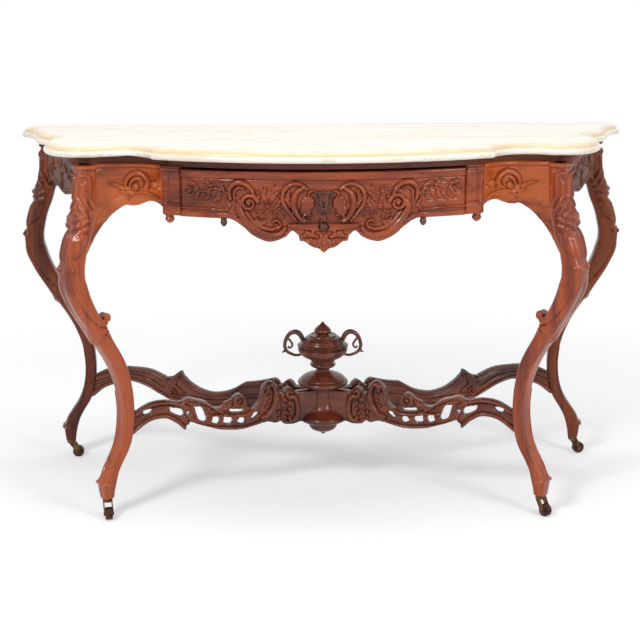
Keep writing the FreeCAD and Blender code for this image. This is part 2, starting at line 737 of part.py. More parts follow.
def urnHandle():
    """A bent scroll that leaves the shoulder of the bowl, turns down and comes back to its foot."""
    solids = []
    for pairs in (handleBow, handleReturn):
        points = [V(x, 0, z) for x, z in pairs]
        path = spline(points)
        tangent = path.tangentAt(path.FirstParameter)
        ring = Part.Wire(Part.makeCircle(handleRadius, points[0], tangent))
        sweep = Part.Wire(path).makePipeShell([ring], True, False)
        solids.append(sweep)
    tip = Part.makeSphere(handleRadius * 1.25, V(handleBow[-1][0], 0, handleBow[-1][1]))
    handle = solids[0].fuse(solids[1]).fuse(tip)
    handle.translate(V(hubCentre[0], hubCentre[1], 0))
    return handle


# ---- casters ----
def casterPivot(foot):
    return V(foot[0], foot[1], 0)


def casterPlate(centre):
    top = footBottom
    under = top - plateThickness
    crownUnder = under - swivelGap - forkCrownHeight
    disc = rod(plateRadius, V(0, 0, under), V(0, 0, top))
    stem = rod(socketRadius, V(0, 0, top), V(0, 0, top + socketDepth))
    pivot = rod(pivotRadius, V(0, 0, crownUnder - swivelGap), V(0, 0, under))
    head = rod(pivotHead, V(0, 0, crownUnder - swivelGap - 2), V(0, 0, crownUnder - swivelGap))
    plate = disc.fuse(stem).fuse(pivot).fuse(head)
    plate.translate(centre)
    return plate


def casterTurn(shape, centre, angle):
    shape.rotate(V(0, 0, 0), V(0, 0, 1), angle)
    shape.translate(centre)
    return shape


def casterFork(centre, angle):
    crownTop = footBottom - plateThickness - swivelGap
    crownUnder = crownTop - forkCrownHeight
    inner = wheelWidth / 2 + forkSideGap
    outer = inner + forkCheek
    crown = rod(forkCrownRadius, V(0, 0, crownUnder), V(0, 0, crownTop))
    fork = crown
    for side in (1, -1):
        y = inner if side > 0 else -outer
        shape = [V(-6, y, crownTop), V(8, y, crownTop), V(casterTrail + 5.5, y, wheelRadius + 2),
                 V(casterTrail + 3, y, wheelRadius - 5.5), V(casterTrail - 3, y, wheelRadius - 5.5),
                 V(-6, y, crownUnder)]
        cheek = Part.Face(Part.makePolygon(shape + [shape[0]])).extrude(V(0, forkCheek, 0))
        fork = fork.fuse(cheek)
    fork = fork.cut(rod(pivotRadius + axleFit, V(0, 0, crownUnder - 1), V(0, 0, crownTop + 1)))
    eye = rod(axleRadius, V(casterTrail, -outer, wheelRadius), V(casterTrail, outer, wheelRadius))
    return casterTurn(fork.cut(eye), centre, angle)


def casterAxle(centre, angle):
    outer = wheelWidth / 2 + forkSideGap + forkCheek
    pin = rod(axleRadius, V(casterTrail, -outer, wheelRadius), V(casterTrail, outer, wheelRadius))
    for side in (1, -1):
        start = V(casterTrail, side * outer, wheelRadius)
        pin = pin.fuse(rod(axleHead, start, start + V(0, side * axleHeadThickness, 0)))
    return casterTurn(pin, centre, angle)


def casterWheel(centre, angle):
    half = wheelWidth / 2
    wheel = rod(wheelRadius, V(casterTrail, -half, wheelRadius), V(casterTrail, half, wheelRadius))
    rims = [e for e in wheel.Edges if e.Closed and e.Length > 2 * math.pi * wheelRadius - 1]
    wheel = wheel.makeFillet(treadRound, rims)
    bore = rod(axleRadius + axleFit, V(casterTrail, -half, wheelRadius), V(casterTrail, half, wheelRadius))
    wheel = wheel.cut(bore)
    return casterTurn(wheel, centre, angle)


def save(name, shape):
    if not shape.isValid():
        raise ValueError(name + " is not a valid shape")
    shape.exportStep("parts/" + name + ".step")


# ---- the table, piece by piece ----
save("marble_top", marbleTop())

screws = frameScrews()
for name, rail in topFrame().items():
    if name == "front_top_rail":
        rail = rail.cut(boltBox(boltFit, boltThrow + boltHeadroom))
    if name == "back_top_rail":
        rail = rail.cut(screws)
    save(name, rail)

legs = {}
for end, foot, splay in (("front", frontFoot, frontSplay), ("rear", rearFoot, rearSplay)):
    rightLeg = leg(foot, splay)
    legs[end] = rightLeg
    for name, side in sides.items():
        save(end + "_" + name + "_leg", placed(rightLeg, side))

flank = sidePanel(legs["front"], legs["rear"])
panel = cornerPanel(legs["front"], flank)
block = pilaster()
rail = runner()
stop = kicker()
sideBoard = drawerSide()
for name, side in sides.items():
    save(name + "_corner_panel", placed(panel, side))
    save(name + "_side_panel", placed(flank, side))
    save(name + "_pilaster", placed(block, side))
    save(name + "_drawer_runner", placed(rail, side))
    save(name + "_drawer_kicker", placed(stop, side))
    save(name + "_drawer_side", placed(sideBoard, side))
save("back_rail", backRail([legs["rear"], mirrored(legs["rear"])]))
save("bearer_rail", bearerRail())
save("drawer_guides", guides())
save("glue_blocks", glueBlocks(screws))
save("frame_screws", screws)

dropY = bowY(pilasterDropPlace, pilasterInset + pilasterDropRadius)
pilasterDrop = turnedDrop(pilasterDropPlace, dropY, frameUnder - pilasterHeight, pilasterDropRadius)
save("pilaster_drops", Part.makeCompound([pilasterDrop, mirrored(pilasterDrop)]))

frontBoard = drawerFront()
save("drawer_front", frontBoard)
save("drawer_back", drawerBack())
save("drawer_bottom", bottomPanel(0))
save("keyhole_shield", keyholeShield())
save("drawer_knob", drawerKnob())
keyhole = keyholeCut(frontEdge, frontEdge + tableDepth / 4)
save("lock_case", lockBox(0).cut(boltBox(boltFit, boltThrow)).cut(keyhole))
save("lock_bolt", boltBox(0, 0))
dropY = bowY(drawerDropPlace, drawerFrontInset + drawerFrontThickness / 2)
drawerDrop = turnedDrop(drawerDropPlace, dropY, drawerFrontUnder, drawerDropRadius)
save("drawer_drops", Part.makeCompound([drawerDrop, mirrored(drawerDrop)]))

frontArmRuns = [frontArmTop, frontArmDip, frontArmCrest, frontArmEnd, frontArmUnder, frontArmSpur]
rearArmRuns = [rearArmTop, rearArmLeaf, rearArmDip, rearArmFlat, rearArmUnder, rearArmArch]
frontArm = arm(frontFoot, frontSplay, frontArmRuns, frontArmHoles, legs["front"])
rearArm = arm(rearFoot, rearSplay, rearArmRuns, [], legs["rear"])
for name, side in sides.items():
    save("front_" + name + "_stretcher_arm", placed(frontArm, side))
    save("rear_" + name + "_stretcher_arm", placed(rearArm, side))

hub = smoothTurned(hubColumn, hubCentre)
for foot, splay in ((frontFoot, frontSplay), (rearFoot, rearSplay)):
    _, run = armLine(foot, splay)
    outward = math.degrees(math.atan2(-run.y, -run.x))
    wing = hubWing(outward)
    hub = hub.fuse(wing).fuse(mirrored(wing))
save("stretcher_hub", hub)
save("hub_drop", smoothTurned(hubDrop, hubCentre))
save("urn_foot", smoothTurned(urnFoot, hubCentre))
bowl = smoothTurned(urnBody, hubCentre)
lid = smoothTurned(urnLid, hubCentre)
save("urn_body", bowl)
save("urn_lid", lid)
handle = urnHandle().cut(bowl).cut(lid)
handle = max(handle.Solids, key=lambda s: s.Volume)
save("urn_handle_right", handle)
save("urn_handle_left", mirrored(handle))

plates = []
for place, angle in casterAngles.items():
    foot = frontFoot if place.startswith("front") else rearFoot
    centre = casterPivot(foot)
    if place.endswith("left"):
        centre.x = -centre.x
    plates.append(casterPlate(centre))
    save(place + "_caster_fork", casterFork(centre, angle))
    save(place + "_caster_axle", casterAxle(centre, angle))
    save(place + "_caster_wheel", casterWheel(centre, angle))
save("caster_plates", Part.makeCompound(plates))
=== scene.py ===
import math
import bmesh
import bpy
import numpy as np
from mathutils import Matrix, Vector


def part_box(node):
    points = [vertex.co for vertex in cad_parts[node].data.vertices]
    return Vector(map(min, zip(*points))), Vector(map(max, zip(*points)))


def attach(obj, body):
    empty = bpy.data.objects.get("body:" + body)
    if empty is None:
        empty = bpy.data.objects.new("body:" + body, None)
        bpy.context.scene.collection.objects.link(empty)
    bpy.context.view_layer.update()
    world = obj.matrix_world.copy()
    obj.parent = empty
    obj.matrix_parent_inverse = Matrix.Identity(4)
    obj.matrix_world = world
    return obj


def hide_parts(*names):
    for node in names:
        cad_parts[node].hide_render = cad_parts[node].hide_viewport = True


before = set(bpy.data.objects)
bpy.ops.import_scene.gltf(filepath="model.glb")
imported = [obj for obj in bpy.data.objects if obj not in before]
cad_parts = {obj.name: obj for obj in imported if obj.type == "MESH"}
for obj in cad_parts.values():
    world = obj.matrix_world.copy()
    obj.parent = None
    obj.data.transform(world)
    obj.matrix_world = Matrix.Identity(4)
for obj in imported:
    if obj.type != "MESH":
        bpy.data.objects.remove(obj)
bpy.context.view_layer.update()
scene = bpy.context.scene
scene.view_settings.view_transform = "Standard"

# camera
camera = {"place": (-0.0336, -3.4285, 1.289), "yaw": 0.0077, "pitch": 0.238, "roll": -0.0043, "lens": 78.87}


def aimCamera(values):
    # the camera stands at a point and looks along yaw and pitch, then rolls about its own line of sight
    yaw, pitch, roll = values["yaw"], values["pitch"], values["roll"]
    ahead = Vector((math.sin(yaw) * math.cos(pitch), math.cos(yaw) * math.cos(pitch), -math.sin(pitch)))
    level = Vector((math.cos(yaw), -math.sin(yaw), 0))
    above = level.cross(ahead)
    right = math.cos(roll) * level + math.sin(roll) * above
    up = math.cos(roll) * above - math.sin(roll) * level
    eye = bpy.data.objects.new("camera", bpy.data.cameras.new("camera"))
    eye.data.lens = values["lens"]
    eye.data.sensor_width = 36
    turn = Matrix((right, up, -ahead)).transposed().to_4x4()
    eye.matrix_world = Matrix.Translation(values["place"]) @ turn
    scene.collection.objects.link(eye)
    scene.camera = eye


aimCamera(camera)
print("camera set")


# materials
def toLinear(code):
    # sRGB hex to linear: the usual power curve with its straight foot
    channels = [int(code[i:i + 2], 16) / 255 for i in (1, 3, 5)]
    return [c / 12.92 if c <= 0.04045 else ((c + 0.055) / 1.055) ** 2.4 for c in channels] + [1.0]


def addNode(tree, kind, settings=None, links=None):
    # one node: settings go to its properties or its sockets, links are joined to its sockets
    node = tree.nodes.new(kind)
    for key, value in (settings or {}).items():
        if isinstance(key, str) and hasattr(node, key):
            setattr(node, key, value)
        else:
            node.inputs[key].default_value = value
    for key, socket in (links or {}).items():
        tree.links.new(socket, node.inputs[key])
    return node


def newMaterial(name):
    # a material, its tree of nodes and the shader in it
    material = bpy.data.materials.new(name)
    material.use_nodes = True
    tree = material.node_tree
    shader = tree.nodes["Principled BSDF"]
    return material, tree, shader


def colourSteps(tree, fac, stops):
    # a value turned into colours that run straight from one stop to the next
    ramp = addNode(tree, "ShaderNodeValToRGB", links={"Fac": fac})
    ramp.color_ramp.elements[0].position = stops[0][0]
    ramp.color_ramp.elements[0].color = toLinear(stops[0][1])
    ramp.color_ramp.elements[1].position = stops[-1][0]
    ramp.color_ramp.elements[1].color = toLinear(stops[-1][1])
    for place, code in stops[1:-1]:
        ramp.color_ramp.elements.new(place).color = toLinear(code)
    return ramp.outputs["Color"]


def noise(tree, vector, scale, detail, roughness=0.5, distortion=0.0):
    # cloudy noise between 0 and 1, finer with each step of detail
    settings = {"Scale": scale, "Detail": detail, "Roughness": roughness, "Distortion": distortion}
    return addNode(tree, "ShaderNodeTexNoise", settings, {"Vector": vector}).outputs["Fac"]


def spread(tree, value, start, end, low, high):
    # the stretch of a value from start to end, laid straight onto low to high and held beyond its ends
    settings = {"From Min": start, "From Max": end, "To Min": low, "To Max": high}
    return addNode(tree, "ShaderNodeMapRange", settings, {"Value": value}).outputs[0]


def blend(tree, share, colour, code):
    # a colour mixed with a fixed one, of which it takes the share
    mix = addNode(tree, "ShaderNodeMix", {"data_type": "RGBA"}, {"Factor": share, 6: colour})
    mix.inputs[7].default_value = toLinear(code)
    return mix.outputs[2]


def hollowness(tree):
    # how deep a point of the relief lies: 1 in a hollow, 0 on the level, -1 on a crest
    return addNode(tree, "ShaderNodeAttribute", {"attribute_name": "hollow"}).outputs["Fac"]


# the finish that every wood starts from; its grain runs along the axis whose stretch is smallest;
# its colour for the hollows is painted shade, and its crest colour is partly polish wear and partly a painted
# highlight
redWood = {"dark": "#4A180B", "middle": "#83351A", "light": "#AC4F24", "pore": "#2A1008", "hollowShade": "#1C0A06",
           "crest": "#AA5C38", "gloss": 0.16, "shine": 0.42, "stretch": (0.10, 1.0, 1.0)}
alongHeight, alongDepth = (1.0, 1.0, 0.10), (1.0, 0.10, 1.0)


def polishedWood(name, **own):
    # French-polished red hardwood: figured streaks about 4 mm wide, short dark pores, a thin glossy film,
    # painted shade that darkens the carved hollows, and brighter wood on the high edges, partly polish wear
    # and partly a painted highlight
    values = {**redWood, **own}
    material, tree, shader = newMaterial(name)
    coords = addNode(tree, "ShaderNodeTexCoord").outputs["Object"]
    along = addNode(tree, "ShaderNodeMapping", {"Scale": values["stretch"]}, {"Vector": coords}).outputs[0]
    figure = noise(tree, along, 9.0, 5.0, 0.55, 0.8)
    streak = noise(tree, along, 55.0, 6.0, 0.65)
    mixed = addNode(tree, "ShaderNodeMath", {"operation": "MULTIPLY_ADD", 1: 0.45}, {0: streak, 2: figure})
    wood = colourSteps(tree, mixed.outputs[0],
                       [(0.52, values["dark"]), (0.68, values["middle"]), (0.82, values["light"])])
    pores = spread(tree, noise(tree, along, 260.0, 2.0), 0.62, 0.72, 0.0, 0.35)
    pored = blend(tree, pores, wood, values["pore"])
    hollow = hollowness(tree)
    # painted shade: the wood is darkened towards the hollow colour in the carved hollows
    hollowShaded = blend(tree, spread(tree, hollow, 0.12, 1.0, 0.0, 0.62), pored, values["hollowShade"])
    # brighter wood on the crests: partly polish wear, partly a painted highlight
    wornAndHighlighted = blend(tree, spread(tree, hollow, -0.2, -1.0, 0.0, 0.35), hollowShaded, values["crest"])
    tree.links.new(wornAndHighlighted, shader.inputs["Base Color"])
    dull = spread(tree, figure, 0.0, 1.0, values["gloss"], values["gloss"] + 0.14)
    tree.links.new(dull, shader.inputs["Roughness"])
    bump = addNode(tree, "ShaderNodeBump", {"Strength": 0.10, "Distance": 0.0006}, {"Height": streak})
    tree.links.new(bump.outputs[0], shader.inputs["Normal"])
    shader.inputs["Specular IOR Level"].default_value = values["shine"]
    shader.inputs["IOR"].default_value = 1.5
    return material


marbleTones = {"body": [(0.30, "#E9DCC8"), (0.48, "#F4EADB"), (0.62, "#F6EFE3"), (0.78, "#EFE2DA")],
               "vein": "#C9AE8C", "coveTone": "#E3C596", "gloss": 0.22}


def polishedMarble(tones):
    # cream marble, honed and waxed: cloudy body, thin warm veins 2 to 5 mm wide lying along the slab where a
    # noise crosses its middle value, and a warmer tan laid on the cove of the edge's moulding
    material, tree, shader = newMaterial("polishedMarble")
    coords = addNode(tree, "ShaderNodeTexCoord").outputs["Object"]
    lie = {"Scale": (0.35, 1.6, 1.6), "Rotation": (0, 0, 0.06)}
    along = addNode(tree, "ShaderNodeMapping", lie, {"Vector": coords}).outputs[0]
    body = colourSteps(tree, noise(tree, along, 5.0, 6.0, 0.6, 0.6), tones["body"])
    veinNoise = noise(tree, along, 7.0, 7.0, 0.62, 1.4)
    ridge = addNode(tree, "ShaderNodeMath", {"operation": "SUBTRACT", 1: 0.5}, {0: veinNoise})
    thin = addNode(tree, "ShaderNodeMath", {"operation": "ABSOLUTE"}, {0: ridge.outputs[0]})
    veined = blend(tree, spread(tree, thin.outputs[0], 0.0, 0.028, 0.42, 0.0), body, tones["vein"])
    # the cove band of the edge's moulding is tinted towards a warmer tan
    coveToned = blend(tree, spread(tree, hollowness(tree), 0.0, 1.0, 0.0, 0.8), veined, tones["coveTone"])
    tree.links.new(coveToned, shader.inputs["Base Color"])
    shader.inputs["Roughness"].default_value = tones["gloss"]
    shader.inputs["IOR"].default_value = 1.5
    return material


def agedMetal(name, bright, dull):
    # metal that has gone brown or grey: bare where it is handled, dull oxide elsewhere
    material, tree, shader = newMaterial(name)
    blotch = noise(tree, addNode(tree, "ShaderNodeTexCoord").outputs["Object"], 90.0, 4.0, 0.6)
    tree.links.new(colourSteps(tree, blotch, [(0.38, dull), (0.62, bright)]), shader.inputs["Base Color"])
    tree.links.new(spread(tree, blotch, 0.0, 1.0, 0.30, 0.55), shader.inputs["Roughness"])
    shader.inputs["Metallic"].default_value = 0.85
    return material


legWood = polishedWood("polishedLegWood", stretch=alongHeight)
# painted shade: a darker copy of the leg wood for the rear legs, which lie further back in shade
rearLegWoodInShade = polishedWood("shadedRearLegWood", dark="#381208", middle="#602812", light="#7E3A1A",
                           crest="#8C4C32", shine=0.3, stretch=alongHeight)
# painted shade: a darker, duller copy of the wood for the side panels, which face away to the sides
flankWoodInShade = polishedWood("shadedFlankWood", dark="#34140C", middle="#542817", light="#6E3820",
                         crest="#7C4630", gloss=0.42, shine=0.16, stretch=alongDepth)
friezeWood = polishedWood("polishedFriezeWood", dark="#48180C", middle="#7C341C", light="#A34C28")
# painted light: a lighter copy of the frieze wood for the corner panels, standing in for a lamp's reflection
# in their hollow faces
cornerWoodLit = polishedWood("litCornerWood", dark="#64260F", middle="#9C4620", light="#C6642F")
stretcherWood = polishedWood("polishedStretcherWood", dark="#33120B", middle="#572618", light="#7A3920",
                             crest="#905036", stretch=(0.14, 0.5, 1.0))
urnWood = polishedWood("turnedUrnWood", dark="#34170F", middle="#5C2E20", light="#763C28", crest="#8A5140",
                       stretch=(1.0, 1.0, 0.35))
plainWood = polishedWood("stainedSecondaryWood", dark="#3A1E14", middle="#54301F", light="#6B4029",
                         gloss=0.5, shine=0.3)
railWood = polishedWood("stainedRailWood", dark="#45241A", middle="#643627", light="#784533", gloss=0.4,
                        shine=0.3)
marble = polishedMarble(marbleTones)
brass = agedMetal("agedBrass", "#7C5E3C", "#3E2C1C")
wheelBrass = agedMetal("brownedWheelBrass", "#5E4034", "#2E1E18")
lockSteel = agedMetal("dullLockSteel", "#77777A", "#4A4A4C")
print("materials made")


# mesh helpers
def smoothPath(points, perSpan=8):
    # Catmull-Rom: each span is the cubic through its two points that leaves along the neighbours' chord
    p = np.asarray(points, float)
    if len(p) < 3:
        t = np.linspace(0, 1, perSpan + 1)[:, None]
        return p[0] * (1 - t) + p[-1] * t
    p = np.vstack([2 * p[0] - p[1], p, 2 * p[-1] - p[-2]])
    a, b, c, d = p[:-3], p[1:-2], p[2:-1], p[3:]
    t = (np.arange(perSpan) / perSpan)[None, :, None]
    a, b, c, d = a[:, None], b[:, None], c[:, None], d[:, None]
    q = 0.5 * (2 * b + (c - a) * t + (2 * a - 5 * b + 4 * c - d) * t ** 2 + (3 * b - a - 3 * c + d) * t ** 3)
    return np.vstack([q.reshape(-1, p.shape[1]), p[-2:-1]])


def gridFaces(rows, cols, around=False):
    # quads between neighbouring rows and columns of a grid of points
    down = np.arange(rows - 1)[:, None] * cols
    across = np.arange(cols if around else cols - 1)[None, :]
    here = down + across
    right = down + (across + 1) % cols
    return np.stack([here, right, right + cols, here + cols], -1).reshape(-1, 4)


def ringPart(points, hollow=None):
    # a closed skin: rows of rings joined to each other and capped at both ends
    rows, cols = points.shape[:2]
    caps = [list(range(cols)), list(range((rows - 1) * cols, rows * cols))]
    shade = np.zeros(rows * cols) if hollow is None else hollow.ravel()
    return {"points": points.reshape(-1, 3), "quads": gridFaces(rows, cols, True), "caps": caps,
            "hollow": shade}


def lathePart(profile, centre, count=96, ripple=None):
    # a profile of (radius, height) turned about an upright axis; ripple changes the radius with angle
    r, z = np.maximum(profile[:, 0], 0.3)[:, None], profile[:, 1][:, None]
    turn = np.linspace(0, 2 * np.pi, count, endpoint=False)[None, :]
    if ripple is not None:
        r = r + ripple(turn, z)
    x, y = centre[0] + r * np.cos(turn), centre[1] + r * np.sin(turn)
    return ringPart(np.stack([x, y, z + 0 * turn], -1))


def tubePart(path, wide, deep, across, count=20, squareness=2.0):
    # a rounded section, wide in the path's plane and deep across it, carried along the path
    path = np.asarray(path, float)
    ahead = np.gradient(path, axis=0)
    ahead /= np.linalg.norm(ahead, axis=1)[:, None]
    side = np.asarray(across, float)[None, :]
    up = np.cross(side, ahead)
    up /= np.linalg.norm(up, axis=1)[:, None]
    share = np.linspace(0, 1, len(path))
    wide = np.interp(share, np.linspace(0, 1, len(wide)), wide)[:, None, None]
    deep = np.interp(share, np.linspace(0, 1, len(deep)), deep)[:, None, None]
    turn = np.linspace(0, 2 * np.pi, count, endpoint=False)[None, :, None]
    c = np.sign(np.cos(turn)) * np.abs(np.cos(turn)) ** (2 / squareness)
    s = np.sign(np.sin(turn)) * np.abs(np.sin(turn)) ** (2 / squareness)
    return ringPart(path[:, None] + up[:, None] * wide * c + side[None] * deep * s)


def makePiece(name, parts, material, body, replaced=(), sharp=38):
    # joins parts, in millimetres, into one mesh in metres with its faces outwards
    points, faces, hollow, start = [], [], [], 0
    for part in parts:
        points.append(part["points"])
        hollow.append(part["hollow"])
        faces += (part["quads"] + start).tolist()
        faces += [[i + start for i in cap] for cap in part.get("caps", [])]
        start += len(part["points"])
    mesh = bpy.data.meshes.new(name)
    mesh.from_pydata((np.vstack(points) / 1000).tolist(), [], faces)
    shade = mesh.attributes.new("hollow", "FLOAT", "POINT")
    shade.data.foreach_set("value", np.concatenate(hollow).astype(np.float32))
    work = bmesh.new()
    work.from_mesh(mesh)
    bmesh.ops.recalc_face_normals(work, faces=work.faces)
    work.to_mesh(mesh)
    work.free()
    mesh.shade_smooth()
    mesh.set_sharp_from_angle(angle=math.radians(sharp))
    mesh.materials.append(material)
    piece = bpy.data.objects.new(name, mesh)
    scene.collection.objects.link(piece)
    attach(piece, body)
    if replaced:
        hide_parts(*replaced)
    return piece


def mirroredPart(part):
    # the same part on the other side of the table's middle
    flipped = dict(part)
    flipped["points"] = part["points"] * np.array([-1, 1, 1])
    return flipped


def makePair(name, parts, material, node):
    # the right piece and its mirror image, which rest on the table's own body
    for side, own in (("right", parts), ("left", [mirroredPart(part) for part in parts])):
        makePiece(name + "_" + side, own, material, "table", [node.format(side)])


# carving on a flat map
def blankMap(x, y, ground=0.0):
    # a level field of relief over the map's two coordinates
    return {"x": x, "y": y, "ground": ground, "h": np.full(x.shape, float(ground))}


def nearest(x, y, path):
    # distance to the closest stretch of a path, how far along it that is, and on which side
    a, d = path[:-1], np.diff(path, axis=0)
    length = np.hypot(d[:, 0], d[:, 1]) + 1e-9
    run = ((x[:, None] - a[:, 0]) * d[:, 0] + (y[:, None] - a[:, 1]) * d[:, 1]) / length ** 2
    run = np.clip(run, 0, 1)
    dx = x[:, None] - a[:, 0] - run * d[:, 0]
    dy = y[:, None] - a[:, 1] - run * d[:, 1]
    gap = dx * dx + dy * dy
    k = gap.argmin(1)
    i = np.arange(len(x))
    begun = np.concatenate([[0], np.cumsum(length)])
    share = (begun[k] + run[i, k] * length[k]) / begun[-1]
    side = np.sign(d[k, 0] * dy[i, k] - d[k, 1] * dx[i, k])
    return np.sqrt(gap[i, k]), share, side


def carve(field, kind, path, width, height, lobes=6, moat=0.8):
    # rib: half-round strand; leaf: strand with a notched edge, slanting veins and a sunk midrib;
    # band: flat-topped strand; groove: a sunk line. A strand's edge is set off by a narrow moat.
    x, y, h = field["x"], field["y"], field["h"]
    curve = smoothPath(path)
    reach = 1.3 * max(width) + 4
    near = (x > curve[:, 0].min() - reach) & (x < curve[:, 0].max() + reach)
    near &= (y > curve[:, 1].min() - reach) & (y < curve[:, 1].max() + reach)
    if not near.any():
        return
    gap, share, side = nearest(x[near], y[near], curve)
    w = np.maximum(np.interp(share, np.linspace(0, 1, len(width)), width), 0.1)
    if kind == "groove":
        h[near] -= height * np.exp(-(gap / w) ** 2)
        return
    if kind == "leaf":
        w = w * (0.76 + 0.24 * np.abs(np.sin(np.pi * lobes * (share + 0.16 * gap / w))))
    across = gap / w
    dome = np.sqrt(np.clip(1 - across ** 2, 0, 1))
    if kind == "rib":
        rise = height * dome
    elif kind == "band":
        rise = height * np.clip((1 - across) * w / 1.6, 0, 1)
    else:
        veins = 0.84 + 0.16 * np.cos(2 * np.pi * lobes * (share + 0.2 * across) + 0.6)
        rise = height * dome ** 0.8 * veins - 0.3 * height * np.exp(-(gap / 1.6) ** 2)
    rise = rise + field["ground"]
    ditch = moat * np.exp(-((gap - w) / 2.0) ** 2)
    h[near] = np.where(across < 1, np.maximum(h[near], rise), h[near] - ditch)


def bead(field, cx, cy, radius, height):
    # a round button, half an ellipse in section, in a shallow ring
    gap = np.hypot(field["x"] - cx, field["y"] - cy) / radius
    rise = field["ground"] + height * np.sqrt(np.clip(1 - gap ** 2, 0, 1))
    ditch = 0.7 * np.exp(-((gap - 1) * radius / 1.8) ** 2)
    field["h"] = np.where(gap < 1, np.maximum(field["h"], rise), field["h"] - ditch)


def flower(field, cx, cy, radius, height, petals=5, turn=0.0):
    # petals are lobes of the radius in the angle, each hollowed along its middle, round a button
    dx, dy = field["x"] - cx, field["y"] - cy
    gap, angle = np.hypot(dx, dy), np.arctan2(dy, dx) + turn
    lobe = np.abs(np.cos(petals * angle / 2))
    edge = radius * (0.55 + 0.45 * lobe ** 0.6)
    rise = height * np.clip(1 - (gap / edge) ** 3, 0, 1) * (0.6 + 0.4 * lobe)
    rise = rise * np.clip(0.45 + gap / radius, 0, 1)
    button = height * 1.05 * np.sqrt(np.clip(1 - (gap / (0.26 * radius)) ** 2, 0, 1))
    inside = gap < edge
    field["h"] = np.where(inside, np.maximum(field["h"], field["ground"] + np.maximum(rise, button)),
                          field["h"])
    field["h"] -= 0.7 * np.exp(-((gap - edge) / 1.8) ** 2) * ~inside


def volute(field, cx, cy, radius, start, turns, width, height):
    # a strand that winds inwards on a shrinking circle and ends in a round eye
    turn = np.linspace(0, 1, 14)
    angle = start + 2 * np.pi * turns * turn
    reach = radius * (1 - 0.72 * turn)
    path = np.stack([cx + reach * np.cos(angle), cy + reach * np.sin(angle)], -1)
    carve(field, "rib", path, [width, width * 0.8, width * 0.6], height)
    bead(field, cx, cy, radius * 0.3, height * 1.05)


def hollowOf(h, passes=9, scale=3.0):
    # how far each point lies below the average of its surroundings
    wide = h.copy()
    for _ in range(passes):
        padded = np.pad(wide, 1, mode="edge")
        wide = (padded[:-2, 1:-1] + padded[2:, 1:-1] + padded[1:-1, :-2] + padded[1:-1, 2:] + 2 * wide) / 6
    return np.clip((wide - h) / scale, -1, 1)


def outlineGap(x, y, loops):
    # distance to the nearest outline, negative inside; an outline inside another is a hole
    gap = np.full(x.size, 1e9)
    inside = np.zeros(x.size, bool)
    px, py = x.ravel(), y.ravel()
    for loop in loops:
        ring = np.vstack([loop, loop[:1]])
        near, _, _ = nearest(px, py, ring)
        gap = np.minimum(gap, near)
        a, b = ring[:-1], ring[1:]
        spans = (a[:, 1] > py[:, None]) != (b[:, 1] > py[:, None])
        rise = np.where(np.abs(b[:, 1] - a[:, 1]) < 1e-9, 1e-9, b[:, 1] - a[:, 1])
        cross = a[:, 0] + (py[:, None] - a[:, 1]) / rise * (b[:, 0] - a[:, 0])
        inside ^= ((spans & (px[:, None] < cross)).sum(1) % 2).astype(bool)
    return np.where(inside, -gap, gap).reshape(x.shape)


def panelPart(us, vs, gap, front, back, place):
    # a board cut to an outline: the grid's rim is pulled onto the outline, both faces carry relief,
    # and walls close the rims and the openings
    cell = us[1] - us[0]
    gridX, gridZ = np.meshgrid(us, vs)
    good = gap < 0.55 * cell
    quad = good[:-1, :-1] & good[:-1, 1:] & good[1:, :-1] & good[1:, 1:]
    whole = np.zeros(gap.shape, int)
    used = np.zeros(gap.shape, bool)
    for a, b in ((0, 0), (0, 1), (1, 0), (1, 1)):
        rows, cols = slice(a, gap.shape[0] - 1 + a), slice(b, gap.shape[1] - 1 + b)
        whole[rows, cols] += quad
        used[rows, cols] |= quad
    rim = used & (whole < 4)
    gv, gu = np.gradient(gap, vs, us)
    size = np.maximum(gu ** 2 + gv ** 2, 0.25)
    move = np.clip(gap, -1.3 * cell, 1.3 * cell) * rim
    gridX = gridX - move * gu / size
    gridZ = gridZ - move * gv / size
    number = np.cumsum(used.ravel()).reshape(gap.shape) - 1
    count = used.sum()
    r, c = np.nonzero(quad)
    face = np.stack([number[r, c], number[r, c + 1], number[r + 1, c + 1], number[r + 1, c]], -1)
    edges = np.concatenate([face[:, [0, 1]], face[:, [1, 2]], face[:, [2, 3]], face[:, [3, 0]]])
    key = edges[:, 0].astype(np.int64) * count + edges[:, 1]
    twin = edges[:, 1].astype(np.int64) * count + edges[:, 0]
    openEdges = edges[~np.isin(key, twin)]
    wall = np.stack([openEdges[:, 1], openEdges[:, 0], openEdges[:, 0] + count, openEdges[:, 1] + count], -1)
    frontPoints = place(gridX[used], gridZ[used], front[used])
    backPoints = place(gridX[used], gridZ[used], back[used])
    quads = np.concatenate([face, face[:, ::-1] + count, wall])
    shade = np.concatenate([hollowOf(front)[used], hollowOf(-back)[used]])
    return {"points": np.vstack([frontPoints, backPoints]), "quads": quads, "hollow": shade}


def roundedRim(gap, radius):
    # how far a face falls away towards its rim, on a quarter circle
    depth = np.clip(1 + gap / radius, 0, 1)
    return -radius * (1 - np.sqrt(np.clip(1 - depth ** 2, 0, 1)))


# measures shared by several pieces, in millimetres
tableMeasures = {"slabUnder": 892.0, "frameUnder": 874.0, "frontEdge": -326.5, "bowRadius": 900.0}
frameUnder = tableMeasures["frameUnder"]
bowCentre = tableMeasures["frontEdge"] + tableMeasures["bowRadius"]


def flatPlace(start, ahead, side):
    # a flat upright board: along it from its start, up, and out to its side
    def place(u, v, out):
        return start + u[:, None] * ahead + out[:, None] * side + v[:, None] * np.array([0, 0, 1.0])

    return place


def bowPlace(inset):
    # x along the bowed front, z up, out away from the table's middle
    radius = tableMeasures["bowRadius"] - inset

    def place(u, v, out):
        turn = np.arcsin(u / radius)
        return np.stack([(radius + out) * np.sin(turn), bowCentre - (radius + out) * np.cos(turn), v], -1)

    return place


